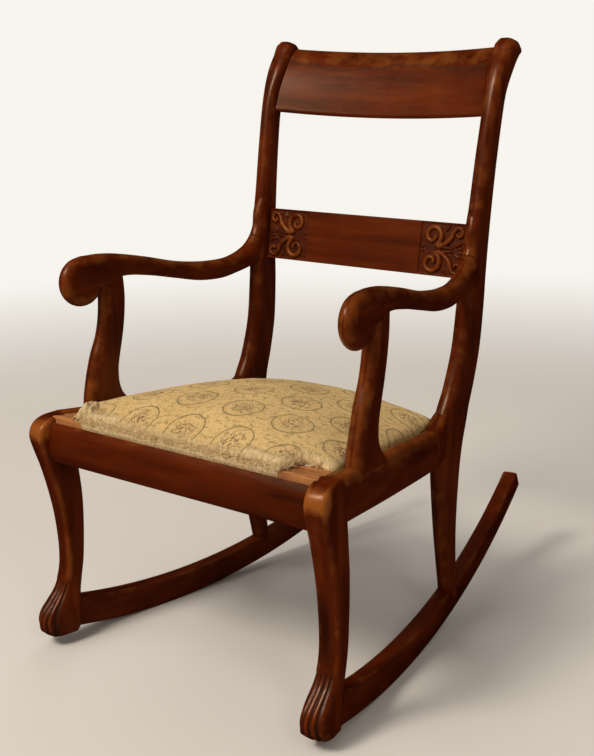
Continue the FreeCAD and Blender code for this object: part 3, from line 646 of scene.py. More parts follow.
@dataclass(frozen=True)
class PlainWood:
    """Unpolished secondary wood, dusty and open in the grain."""

    name: str
    grain: Grain
    dark: Color
    light: Color

    def material(self) -> bpy.types.Material:
        """Lay out the finish.

        Returns:
            The material.
        """
        f = Finish(self.name)
        slow = f.place(scale=self.grain.value)
        streaks = f.noise(slow, 12.0, 6.0, 0.65)
        dust = f.noise(f.place(), 45.0, 5.0, 0.7)
        color = f.ramp((streaks * 0.8 + dust * 0.3 - 0.05).limited(),
                       [(0.35, self.dark), (0.65, self.light)])
        wear = ((f.attribute("wear") + dust - 0.9) * 2.0).limited()
        color = f.mixed(wear * 0.4, color, self.light)
        return f.surface(color, 0.62 + dust * 0.2, streaks * 0.8 + dust * 0.3, 0.0005)


@dataclass(frozen=True)
class SidePlane:
    """The upright plane of a side frame's outer face, set by two half widths."""

    front_y: float
    front_half: float
    rear_y: float
    rear_half: float
    lean: float = 0.0
    lean_from: float = 0.0

    @property
    def slope(self) -> float:
        """How fast the half width changes with depth."""
        return (self.rear_half - self.front_half) / (self.rear_y - self.front_y)

    def half(self, y: np.ndarray) -> np.ndarray:
        """Half width of the chair at a depth."""
        return self.front_half + self.slope * (np.asarray(y) - self.front_y)

    def place(self, y: np.ndarray, z: np.ndarray, depth: np.ndarray) -> np.ndarray:
        """Points below the outer face.

        Args:
            y: Places along the chair.
            z: Heights.
            depth: Depths below the outer face.

        Returns:
            Points in the drawing frame, one in each row.
        """
        length = math.hypot(1.0, self.slope)
        spread = math.tan(math.radians(self.lean)) * (z - self.lean_from)
        return np.stack([self.half(y) + spread - depth / length, y + self.slope * depth / length, z], axis=1)


SIDE = SidePlane(-245, 279, 182, 210)
RUNNER = SidePlane(-245, 277, 182, 208)
ARM = SidePlane(-177, 273, 215, 222)
SUPPORT = SidePlane(-245, 279, 182, 210, lean=2.2, lean_from=366)


@dataclass(frozen=True)
class StilePlane:
    """The stile's outer face: it leans outwards and meets the line of the seat rails."""

    foot_z: float = 55.0
    foot_half: float = 208.0
    top_z: float = 910.0
    top_half: float = 229.0
    rail_inset: float = 0.6
    joins_at: tuple[float, float] = (262.0, 292.0)
    leaves_at: tuple[float, float] = (345.0, 400.0)
    soft: float = 1.6

    def half(self, z: np.ndarray) -> np.ndarray:
        """Half width at a height."""
        slope = (self.top_half - self.foot_half) / (self.top_z - self.foot_z)
        return self.foot_half + (z - self.foot_z) * slope

    def place(self, y: np.ndarray, z: np.ndarray, depth: np.ndarray) -> np.ndarray:
        """Points below the outer face, which meets the rail's without a ridge.

        Args:
            y: Places along the chair.
            z: Heights.
            depth: Depths below the outer face.

        Returns:
            Points in the drawing frame, one in each row.
        """
        own = self.half(z)
        rail = SIDE.half(y) - self.rail_inset
        reach = smooth_step(*self.joins_at, z) * (1 - smooth_step(*self.leaves_at, z))
        over = np.clip((rail - own) / self.soft, -30, 30)
        return np.stack([own + reach * self.soft * np.log1p(np.exp(over)) - depth, y, z], axis=1)


def boarded(stations: np.ndarray, plane: SidePlane | StilePlane, arc_steps: int = 4,
            flat_steps: int = 3, rubbing: float = 0.12) -> tuple[list[np.ndarray], list[np.ndarray]]:
    """Rings of a shaped board.

    Args:
        stations: Rows of front y, front z, rear y, rear z, outer depth, thickness,
            front rounding, rear rounding and crown of the front.
        plane: Where the board's outer face lies.
        arc_steps: Steps in each rounded corner.
        flat_steps: Steps between corners.
        rubbing: How much hands and cloths have rubbed the front.

    Returns:
        The rings and the weights of their points.
    """
    rings, weights = [], []
    for fy, fz, ry, rz, outer, thick, front_round, rear_round, crown in stations:
        width = math.hypot(ry - fy, rz - fz)
        most = thick * ROUND_PER_THICKNESS
        front_round = min(front_round, most, width * FRONT_ROUND_PER_WIDTH)
        rear_round = max(min(rear_round, most, width * REAR_ROUND_PER_WIDTH), LEAST_ROUND)
        corners = [(0, thick, front_round), (0, 0, front_round),
                   (width, 0, rear_round), (width, thick, rear_round)]
        ring, weight = rounded_ring(corners, arc_steps, flat_steps)
        along = ring[:, 0] / max(width, 1e-6)
        swell = crown * (1 - (2 * ring[:, 1] / thick - 1) ** 2) * (1 - along) ** 3
        along = along - swell / max(width, 1e-6)
        y = fy + (ry - fy) * along
        z = fz + (rz - fz) * along
        rings.append(plane.place(y, z, outer + ring[:, 1]))
        along = np.clip(along, 0, 1)
        weights.append(weight * (EDGE_WEAR - EDGE_WEAR_FALL * along) + rubbing * (1 - along) ** 2)
    return rings, weights


def rounded_off(rings: list[np.ndarray], weights: list[np.ndarray], radius: float,
                steps: int = 5) -> None:
    """Round off the last end of a loft.

    Args:
        rings: The loft's rings, which are added to.
        weights: Their weights, which are added to.
        radius: Rounding in millimetres.
        steps: Rings in the rounding.
    """
    last = rings[-1]
    middle = last.mean(axis=0)
    way = middle - rings[-2].mean(axis=0)
    way /= np.linalg.norm(way)
    size = np.abs(last - middle).max()
    for step in range(1, steps + 1):
        turn = math.pi / 2 * step / steps
        shrink = 1 - radius * (1 - math.cos(turn)) / size
        rings.append(middle + (last - middle) * shrink + way * radius * math.sin(turn))
        weights.append(np.maximum(weights[-1], 0.5))


@dataclass
class PairedMember:
    """A wooden member that the chair has on both sides."""

    finish: Mahogany
    label: str = ""
    node: str = ""

    def skin(self) -> Skin:
        """The right member's skin."""
        raise NotImplementedError

    def build(self) -> None:
        """Make the right member, and its mirror image on the left."""
        material = self.finish.material()
        for hand in Hand:
            piece = self.skin().piece(f"{hand.word}_{self.label}", hand)
            settle(piece, "chair", material, [f"{hand.word}_{self.node}"])


@dataclass
class Stiles(PairedMember):
    """Back posts with their back legs, each sawn from one board."""

    label: str = "stile_shaped"
    node: str = "stile"
    thickness: float = 28.0
    edge_round: float = 11.5
    back_round: float = 3.5
    rail_thickness: float = 34.0
    front_crown: float = 2.4
    ear_round: float = 1.5
    ear_swell: float = 8.0
    swell_over: tuple[float, float] = (800.0, 885.0)
    outline: tuple = (
        (184, 40, 205, 40), (180, 53, 200, 53), (167, 108, 193, 115), (153, 181, 190, 176),
        (142, 255, 193, 255), (138, 300, 199, 300), (141, 335, 208, 335), (153, 362, 214, 360),
        (169, 390, 225, 392), (190, 449, 239, 446), (200, 515, 246, 512), (205, 560, 248, 558),
        (213, 605, 251, 603), (226, 667, 257, 665), (238, 735, 266, 735), (251, 800, 277, 799),
        (259, 830, 284, 829), (266, 850, 292, 846), (275, 869, 302, 862), (285, 884, 311, 875),
        (291.5, 893, 316, 881), (295, 901, 318.5, 883.5), (300.5, 907, 320, 885), (307, 909.6, 321, 886),
        (314, 908.5, 321.5, 886.5), (320, 904, 322, 887), (324.5, 897, 322.5, 887.5))
    stub: tuple = ((112, 341.1, 112, 286), (124, 342.5, 124, 287.5), (137, 349, 137, 289),
                   (150, 358, 150, 290.5), (160, 362, 160, 292))
    stub_taper: tuple = (1.0, 3.0, 5.5, 7.0, 8.0)
    stub_step: float = 0.15

    def skin(self) -> Skin:
        """Shape a stile, with the stub of the rail that grows into it.

        Returns:
            The right one's skin.
        """
        rows = [(*row, 0, self.thickness + self.ear_swell * float(smooth_step(*self.swell_over, row[1])),
                 self.edge_round, self.back_round, self.front_crown) for row in self.outline]
        rings, weights = boarded(flowing(rows, 6.0), StilePlane(), arc_steps=6)
        rounded_off(rings, weights, self.ear_round)
        rows = [(*row, self.stub_step * k, self.rail_thickness - less, 10.0, 3.0, 0)
                for k, (row, less) in enumerate(zip(self.stub, self.stub_taper))]
        return Skin().loft(rings, weights).loft(*boarded(flowing(rows, 4.0), SIDE))


@dataclass
class Legs(PairedMember):
    """Front legs, each with a paw foot carved from the same wood."""

    label: str = "front_leg_carved"
    node: str = "front_leg"
    thickness: float = 34.0
    front_crown: float = 1.2
    joint_z: float = 300.0
    toes_over: tuple[float, float] = (95.0, 101.0)
    toe_pitch: float = 0.44
    toe_inset: float = 0.7
    groove_depth: float = 2.6
    knuckle_z: float = 52.0
    knuckle_reach: float = 14.0
    claw_z: float = 27.0
    claw_reach: float = 5.0
    claw_length: float = 2.6
    knee_z: float = 350.0
    knee_reach: float = 16.0
    outline: tuple = (
        (-205, 369.5, -190, 352, 0), (-228, 367, -190, 340, 0), (-244, 358, -190, 328, 0),
        (-250.5, 341, -190, 314, 0), (-246, 321, -189, 300, 0), (-235, 287, -185, 272, 0),
        (-224, 243, -182, 236, 0), (-217, 205, -182, 203, 0), (-213, 163, -184, 163, 0),
        (-213, 130, -187, 130, 0), (-218, 105, -192, 103, 0.6), (-229, 85, -196, 82, 2.5),
        (-244, 69, -197, 68, 4.5), (-256, 56, -198, 56, 6), (-262, 43, -199, 44, 7),
        (-261, 31, -200, 31, 7), (-256, 22, -202, 22, 6), (-250, 16.5, -205, 16.5, 4))

    def groove(self, rings: list[np.ndarray]) -> list[np.ndarray]:
        """Carve toes into the front of the paw.

        Args:
            rings: Rings of the leg, in the drawing frame.

        Returns:
            How deep each point lies below the toes, from 0 to 1.
        """
        shade = []
        for ring in rings:
            middle = ring.mean(axis=0)
            reach = ring - middle
            across = reach[:, 0] / np.abs(reach[:, 0]).max()
            front = smooth_step(0.0, 0.7, -reach[:, 1] / np.abs(reach[:, 1]).max())
            height = ring[:, 2]
            low = 1 - smooth_step(*self.toes_over, height)
            tendon = np.cos(across / self.toe_pitch * math.pi) ** 2
            cut = (1 - tendon) ** 2.5
            knuckle = 1.2 * np.exp(-((height - self.knuckle_z) / self.knuckle_reach) ** 2) - 0.6
            claw = self.claw_length * np.exp(-((height - self.claw_z) / self.claw_reach) ** 2) * tendon ** 4
            out = reach[:, :2] / np.linalg.norm(reach[:, :2], axis=1)[:, None]
            move = front * low * (knuckle * tendon - self.groove_depth * cut + claw - self.toe_inset)
            ring[:, :2] += out * move[:, None]
            # How deep a point lies between the toes sets the dirt and painted shade there.
            shade.append(front * low * cut.clip(0, 1))
        return shade

    def skin(self) -> Skin:
        """Shape a leg, rubbed bright on its knee, with dirt and painted shade between its toes.

        Returns:
            The right one's skin.
        """
        rows = []
        for *place, spread in self.outline:
            rear_round = 0.4 if place[1] > self.joint_z else 2.5 + spread * 1.2
            rows.append((*place, 0, self.thickness + 1.3 * spread, 6 + spread * 1.6, rear_round,
                         self.front_crown))
        rings, weights = boarded(flowing(rows, 3.0), SIDE, arc_steps=14, flat_steps=16)
        for ring, weight in zip(rings, weights):
            knee = np.exp(-((ring[:, 2] - self.knee_z) / self.knee_reach) ** 2)
            weight += 0.75 * knee * smooth_step(-225, -243, ring[:, 1])
        shade = self.groove(rings)
        skin = Skin().loft(rings, weights)
        skin.grime = np.concatenate([*shade, shade[0][:1], shade[-1][:1]])
        skin.wear = list(np.array(skin.wear) * (1 - skin.grime))
        return skin


@dataclass
class Rockers(PairedMember):
    """Bow runners under the paws and the back legs."""

    label: str = "runner"
    node: str = "rocker"
    radius: float = 1050.0
    rest_y: float = -8.0
    head_y: float = -206.0
    tail_y: float = 506.0
    slims_from_y: float = -190.0
    head_depth: float = 46.0
    tail_depth: float = 30.0
    thickness: float = 26.0
    top_round: float = 3.2
    sole_round: float = 2.0
    tail_round: float = 5.0

    def station(self, y: float) -> tuple[float, ...]:
        """One section, square to the sole.

        Args:
            y: Where it meets the sole.

        Returns:
            A row of stations, as boarded takes it.
        """
        share = (y - self.slims_from_y) / (self.tail_y - self.slims_from_y)
        depth = self.head_depth + share * (self.tail_depth - self.head_depth)
        lean = math.asin((y - self.rest_y) / self.radius)
        sole = self.radius * (1 - math.cos(lean))
        return (y - depth * math.sin(lean), sole + depth * math.cos(lean), y, sole,
                0, self.thickness, self.top_round, self.sole_round, 0.5)

    def skin(self) -> Skin:
        """Shape a runner, with a rounded tail.

        Returns:
            The right one's skin.
        """
        rows = [self.station(y) for y in np.linspace(self.head_y, self.tail_y - self.tail_round, 90)]
        rings, weights = boarded(np.array(rows), RUNNER)
        rounded_off(rings, weights, self.tail_round)
        return Skin().loft(rings, weights)


@dataclass
class Arms(PairedMember):
    """Arms that rise into the stiles behind and roll over into scrolls in front."""

    label: str = "arm_scrolled"
    node: str = "arm"
    thickness: float = 27.0
    scroll_y: float = -146.0
    scroll_z: float = 562.0
    scroll_radius: float = 35.0
    edge_round: float = 11.5
    outline: tuple = (
        (226, 655, 245, 655), (217, 632, 240, 640), (214, 608, 240, 596), (205, 590, 232, 562),
        (190, 576, 214, 549), (168, 566, 190, 543), (144, 560.5, 160, 536.5), (115, 559.5, 125, 531.5),
        (85, 561, 80, 534), (37, 568, 32, 544), (-24, 583, -28, 557), (-80, 594.5, -76, 562),
        (-112, 598, -108, 553), (-132, 598, -128, 552))
    scroll_turns: range = range(95, 347, 25)
    eye_radius: float = 0.5
    lap_rows: int = 3
    lap_inset: float = 0.5
    lap_step: float = 3.0
    seam_z: float = 590.0
    seam: tuple = ((0.3, 0.0), (0.8, 1.2), (1.3, 0.0))

    def joint(self, rings: list[np.ndarray], weights: list[np.ndarray]) -> None:
        """Open a fine seam where the arm's end is glued to the stile's shoulder.

        Args:
            rings: Rings of the arm from its upper end, which are added to.
            weights: Their weights, which are added to.
        """
        place = next(k for k, ring in enumerate(rings) if ring[0][2] < self.seam_z)
        middle = rings[place].mean(axis=0)
        way = rings[place + 1].mean(axis=0) - middle
        way /= np.linalg.norm(way)
        for step, inset in self.seam:
            reach = rings[place] - middle
            shrink = 1 - inset / np.linalg.norm(reach, axis=1)[:, None]
            rings.insert(place + 1 + round(step), middle + reach * shrink + way * step)
            weights.insert(place + 1, weights[place] * 0)

    def skin(self) -> Skin:
        """Shape an arm from its lap on the stile to the eye of its scroll.

        Returns:
            The right one's skin.
        """
        rows = [(*row, self.lap_inset * (k < self.lap_rows),
                 self.thickness - self.lap_step * (k < self.lap_rows), self.edge_round, 4.0, 2.6)
                for k, row in enumerate(self.outline)]
        for angle in map(math.radians, self.scroll_turns):
            y, z = math.cos(angle), math.sin(angle)
            rows.append((self.scroll_y + self.scroll_radius * y, self.scroll_z + self.scroll_radius * z,
                         self.scroll_y + self.eye_radius * y, self.scroll_z + self.eye_radius * z,
                         0, self.thickness, self.edge_round + 0.5, 0.0, 3.0))
        rings, weights = boarded(flowing(rows, 3.5), ARM, arc_steps=6, flat_steps=4, rubbing=0.22)
        self.joint(rings, weights)
        return Skin().loft(rings, weights)


@dataclass
class Supports(PairedMember):
    """S-curved posts between the side rails and the arms."""

    label: str = "support_shaped"
    node: str = "arm_support"
    inset: float = 0.1
    thickness: float = 26.0
    front_round: float = 10.0
    back_round: float = 3.0
    front_crown: float = 2.2
    outline: tuple = (
        (-154, 345, -62, 345), (-154, 362, -68, 356), (-153, 372, -80, 368), (-151, 386, -91, 381),
        (-147, 403, -96, 397), (-142, 422, -96, 420), (-134, 446, -91, 443), (-122, 474, -84, 470),
        (-115, 502, -78, 500), (-112, 530, -74.5, 532), (-112, 556, -75, 560), (-112, 576, -77, 578))

    def skin(self) -> Skin:
        """Shape a support."""
        rows = [(*row, self.inset, self.thickness, self.front_round, self.back_round, self.front_crown)
                for row in self.outline]
        return Skin().loft(*boarded(flowing(rows, 4.0), SUPPORT, arc_steps=6, rubbing=0.2))


@dataclass
class SideRails(PairedMember):
    """Side seat rails: a broad rounded top beside the seat, and a ledge under it."""

    label: str = "side_rail_shaped"
    node: str = "side_rail"
    thickness: float = 34.0
    inset: float = 0.25
    rim: float = 26.6
    ledge_lap: float = 8.0
    rest_front_z: float = 352.0
    slope: float = -0.082
    seat_front_y: float = -228.0
    outline: tuple = (
        (-204, 370.8, -204, 305.5), (-176, 368.2, -176, 303.5), (-95, 360.6, -95, 297.0),
        (8, 350.9, 8, 290.0), (76, 344.5, 76, 286.3), (112, 341.1, 112, 286.0))

    def rest_z(self, y: float) -> float:
        """Height of the rebate's floor."""
        return self.rest_front_z + self.slope * (y - self.seat_front_y)

    def skin(self) -> Skin:
        """Shape a rail.

        Returns:
            The right one's skin.
        """
        rim = [(*row, self.inset, self.rim, 10.5, 3.0, 1.4) for row in self.outline]
        depth = self.rim - self.ledge_lap
        ledge = [(y, self.rest_z(y) - 0.3, y, low + 0.4, depth, self.thickness - self.rim + self.ledge_lap,
                  0.8, 3.0, 0) for y, _, _, low in self.outline]
        skin = Skin().loft(*boarded(flowing(rim, 6.0), SIDE, rubbing=0.34))
        return skin.loft(*boarded(flowing(ledge, 6.0), SIDE))


@dataclass
class EndRails:
    """The front rail, rounded over in front of the seat, and the plain back rail."""

    finish: Mahogany
    inset: float = 32.5
    section: tuple = (
        (-229.5, 360.8, 0.8), (-229.5, 351.6, 0.3), (-205, 349.5, 1), (-205, 300.5, 2), (-235, 300.5, 3),
        (-240, 310.5, 0), (-241, 324, 0), (-241, 338, 0), (-239.4, 349.5, 0), (-235.5, 357.5, 0),
        (-231.5, 362, 0))

    def build(self) -> None:
        """Make both rails."""
        material = self.finish.material()
        section, _ = rounded_ring(self.section, 4, 2)
        weight = 0.3 * smooth_step(352, 362, section[:, 1]) * (section[:, 0] < -228)
        reach = float(SIDE.half(-235)) - self.inset
        rings = [np.column_stack([np.full(len(section), x), section]) for x in np.linspace(-reach, reach, 81)]
        piece = Skin().loft(rings, [weight] * len(rings)).piece("front_rail_rounded")
        settle(piece, "chair", material, ["front_rail"])
        planed = bevelled_copy("back_rail", "back_rail_planed", 1.5)
        settle(planed, "chair", material, ["back_rail"])


@dataclass
class Crest:
    """The hollow top rail between the ears of the stiles."""

    finish: Mahogany
    low_y: float = 257.0
    low_z: float = 803.0
    height: float = 115.0
    bow: float = 17.0
    rake: float = 27.0
    half: float = 198.5
    overrun: float = 1.03
    steps: int = 131
    roll_wear_and_highlight: float = 0.36
    streak_height: float = 0.68
    streak_half: float = 3.4
    streak_grain_and_shade: float = 0.55
    echo_drop: float = 11.0
    echo_half: float = 2.6
    echo_grain_and_shade: float = 0.25
    face: tuple = (
        (263, 797), (260.8, 800), (262.5, 806), (269.8, 831), (276.8, 850.5), (285.8, 869), (294.5, 882),
        (301.5, 890), (309, 896), (316, 899), (322, 897.5), (325.5, 892), (324.5, 885))
    rear: tuple = ((318, 876), (307, 862), (298, 845), (290, 826), (283, 808), (280, 798))

    def section(self) -> tuple[np.ndarray, np.ndarray]:
        """Side section of an end: its face follows the stiles and rolls back at the top.

        Returns:
            Points as depth and height in the raked frame, and their weights.
        """
        lean = math.radians(self.rake)
        outline = flowing([(*spot, *spot) for spot in self.face], 2.5)[:, :2]
        outline = np.vstack([outline, flowing([(*spot, *spot) for spot in self.rear], 4.0)[:, :2]])
        y, z = outline[:, 0] - self.low_y, outline[:, 1] - self.low_z
        ring = np.column_stack([y * math.cos(lean) - z * math.sin(lean),
                                y * math.sin(lean) + z * math.cos(lean)])
        # The top of the roll is rubbed pale: wear, and a painted highlight where the roll faces up.
        rise = ((outline[:, 1] - 862) / 30).clip(0, 1) * (outline[:, 0] < 322)
        return ring, self.roll_wear_and_highlight * smooth_step(0.05, 0.7, rise)

    def build(self) -> None:
        """Make the crest rail."""
        section, weight = self.section()
        lean = math.radians(self.rake)
        radius = (self.half ** 2 + self.bow ** 2) / (2 * self.bow)
        rings, grime = [], []
        for share in np.linspace(-self.overrun, self.overrun, self.steps):
            swing = share * math.asin(self.half / radius)
            y = (radius + section[:, 0]) * math.cos(swing) - radius + self.bow
            x = (radius + section[:, 0]) * math.sin(swing)
            z = section[:, 1]
            rings.append(np.column_stack([x, self.low_y + y * math.cos(lean) + z * math.sin(lean),
                                          self.low_z - y * math.sin(lean) + z * math.cos(lean)]))
            # A dark wavy streak is painted along the crest under its roll, with a fainter echo below it:
            # partly grain, partly painted shade.
            line = self.height * (self.streak_height + 0.045 * math.sin(share * 5.2 + 0.6)
                                  + 0.012 * math.sin(share * 23))
            streak = self.streak_grain_and_shade * np.exp(-((z - line) / self.streak_half) ** 2)
            echo = self.echo_grain_and_shade * np.exp(-((z - line + self.echo_drop) / self.echo_half) ** 2)
            grime.append(streak + echo)
        skin = Skin().loft(rings, [weight] * len(rings))
        skin.grime = np.concatenate([*grime, [0, 0]])
        piece = skin.piece("crest_rail_hollowed")
        settle(piece, "chair", self.finish.material(), ["crest_rail"])


@dataclass
class CrossRail:
    """The middle back rail, with a panel of carved scrolls at each end."""

    finish: Mahogany
    face_y: float = 229.0
    middle_z: float = 596.0
    height: float = 84.0
    thickness: float = 19.0
    rake: float = 10.0
    half: float = 194.0
    panel: float = 84.0
    relief: float = 4.2
    sunk: float = 2.4
    step: float = 0.8
    front_round: float = 1.6
    ridge: float = 0.55
    ridge_per_width: float = 0.15
    leaf_ridge: float = 0.7
    leaf_taper: float = 0.55
    eye: tuple[float, float] = (24.0, 21.0)
    eye_from: float = -25.0
    eye_sweep: float = 400.0
    eye_reach: tuple[float, float] = (4.4, 11.6)
    hook: tuple = ((37, 4.4), (47, 9.5), (56, 18), (60, 28), (66, 34.5), (74, 33), (76, 26), (71, 21),
                   (66, 24))
    leaves: tuple = (((46, 2.8), (60, 3.0), 2.6), ((66, 7), (77, 12), 2.6), ((72, 3), (80, 4), 2.2),
                     ((6, 3.4), (7.5, 3.4), 2.8), ((47, 30), (52, 37), 2.4))

    def scroll(self) -> tuple[np.ndarray, np.ndarray]:
        """Middle line of the upper S-scroll, from its eye to its hooked end.

        Returns:
            Points from the panel's inner edge and middle, and the half width at each.
        """
        turns = np.linspace(0, 1, 120)
        angle = math.radians(self.eye_from) - turns * math.radians(self.eye_sweep)
        reach = self.eye_reach[0] + self.eye_reach[1] * turns ** 0.65
        eye = np.column_stack([self.eye[0] + reach * np.cos(angle), self.eye[1] + reach * np.sin(angle)])
        knots = np.vstack([eye[-1:], self.hook])
        path = flowing(np.hstack([knots, knots]), self.step)[:, :2]
        points = np.vstack([eye, path[1:]])
        width = np.concatenate([3.6 + 1.2 * turns, 4.8 - 1.3 * np.linspace(0, 1, len(path) - 1)])
        return points, width

    def carved(self, along: np.ndarray, up: np.ndarray) -> np.ndarray:
        """Height of the carving above its ground.

        Args:
            along: Distances from the panel's inner edge.
            up: Heights from the middle of the rail.

        Returns:
            Heights in millimetres, 0 on the bare ground.
        """
        points, width = self.scroll()
        spot = np.stack([along, np.abs(up)], axis=-1)
        best = np.zeros(along.shape)
        for start in range(0, len(points), 4):
            away = np.linalg.norm(spot - points[start], axis=-1) / width[start]
            ridge = np.sqrt(np.clip(1 - away ** 2, 0, 1)) * self.relief
            ridge = ridge * (self.ridge + self.ridge_per_width * width[start])
            best = np.maximum(best, ridge)
        for first, last, size in self.leaves:
            for share in np.linspace(0, 1, 9):
                centre = np.array(first) * (1 - share) + np.array(last) * share
                girth = size * (1 - self.leaf_taper * share)
                away = np.linalg.norm(spot - centre, axis=-1) / girth
                best = np.maximum(best, np.sqrt(np.clip(1 - away ** 2, 0, 1)) * self.relief * self.leaf_ridge)
        return best

    def build(self) -> None:
        """Make the rail with its carved face."""
        inner = self.half - self.panel
        dense = np.arange(inner - 2, self.half + 4 + self.step, self.step)
        plain = np.linspace(-(inner - 2), inner - 2, 46)[1:-1]
        xs = np.concatenate([-dense[::-1], plain, dense])
        zs = np.linspace(-self.height / 2, self.height / 2, int(self.height / self.step) + 1)
        x, z = np.meshgrid(xs, zs)
        along = np.abs(x) - inner
        from_edge = self.height / 2 - np.abs(z)
        ground = smooth_step(0, 2.2, along) * smooth_step(0, 2.5, self.height / 2 - 1 - np.abs(z))
        border = smooth_step(1.5, 4, along) * smooth_step(0.5, 3, from_edge)
        lift = self.carved(along, z)
        raised = lift * border
        beyond = np.clip(self.front_round - from_edge, 0, self.front_round)
        edge = self.front_round - np.sqrt(np.clip(self.front_round ** 2 - beyond ** 2, 0, None))
        face = self.sunk * ground - raised + edge
        # The sunk ground round the carving is darkened with dirt and painted shade.
        grime = ground * smooth_step(1.6, 0.2, -raised) * (1 - smooth_step(0.2, 1.5, lift))
        lean = math.radians(self.rake)
        rows, cols = x.shape
        sheets = []
        for depth in (face, np.full_like(face, self.thickness)):
            y = self.face_y + depth * math.cos(lean) + z * math.sin(lean)
            up = self.middle_z + z * math.cos(lean) - depth * math.sin(lean)
            sheets.append(np.column_stack([x.ravel(), y.ravel(), up.ravel()]))
        count = rows * cols
        faces = []
        for a, b, c, d in grid_faces(rows, cols):
            faces += [(a, b, c, d), (count + a, count + d, count + c, count + b)]
        places = np.arange(count).reshape(rows, cols)
        rim = [*places[0], *places[1:, -1], *places[-1, -2::-1], *places[-2:0:-1, 0]]
        faces += [(a, b, count + b, count + a) for a, b in zip(rim, rim[1:] + rim[:1])]
        wear = np.concatenate([smooth_step(1.6, 3.6, raised).ravel() * 0.42, np.zeros(count)])
        piece = mesh_piece("cross_rail_carved", home(np.vstack(sheets)), faces, wear=wear,
                           grime=np.concatenate([grime.ravel() * 0.3, np.zeros(count)]))
        settle(piece, "chair", self.finish.material(), ["cross_rail"])


class Grow:
    """A Geometry Nodes tree while it is laid out."""

    def __init__(self, name: str) -> None:
        """Start a tree that takes a mesh and gives one back.

        Args:
            name: The tree's name.
        """
        self.tree = bpy.data.node_groups.new(name, "GeometryNodeTree")
        self.tree.interface.new_socket("Mesh", in_out="OUTPUT", socket_type="NodeSocketGeometry")
        self.tree.interface.new_socket("Path", in_out="INPUT", socket_type="NodeSocketGeometry")
        self.keys: dict[str, str] = {}
        self.sources = None

    def size(self, name: str, kind: str = "Float") -> None:
        """Add a named input."""
        made = self.tree.interface.new_socket(name, in_out="INPUT", socket_type="NodeSocket" + kind)
        self.keys[name] = made.identifier

    def source(self, name: str) -> bpy.types.NodeSocket:
        """The output that carries a named input.

        Args:
            name: The input's name.

        Returns:
            Its output inside the tree.
        """
        if self.sources is None:
            self.sources = self.tree.nodes.new("NodeGroupInput")
        return self.sources.outputs[name]

    def node(self, kind: str, settings: dict | None = None, output: int | str = 0,
             **values: object) -> bpy.types.NodeSocket:
        """Add a node.

        Args:
            kind: Its full type.
            settings: Its own settings, which are set first.
            output: The output that is returned.
            values: Numbers or links of its inputs, by name with _ for a space.

        Returns:
            The chosen output.
        """
        return new_node(self.tree, kind, settings, values).outputs[output]

    def grown(self, name: str, path: bpy.types.Object, sizes: dict) -> bpy.types.Object:
        """Run the tree on a path and keep the result as a plain mesh.

        Args:
            name: The new piece's name.
            path: The object that the tree starts from. It is removed.
            sizes: Values of the named inputs.

        Returns:
            The new piece.
        """
        modifier = path.modifiers.new("grow", "NODES")
        modifier.node_group = self.tree
        for key, value in sizes.items():
            modifier[self.keys[key]] = value
        done = path.evaluated_get(bpy.context.evaluated_depsgraph_get())
        mesh = bpy.data.meshes.new_from_object(done)
        path.modifiers.remove(modifier)
        bpy.data.objects.remove(path)
        mesh.name = name
        return add_object(name, mesh)


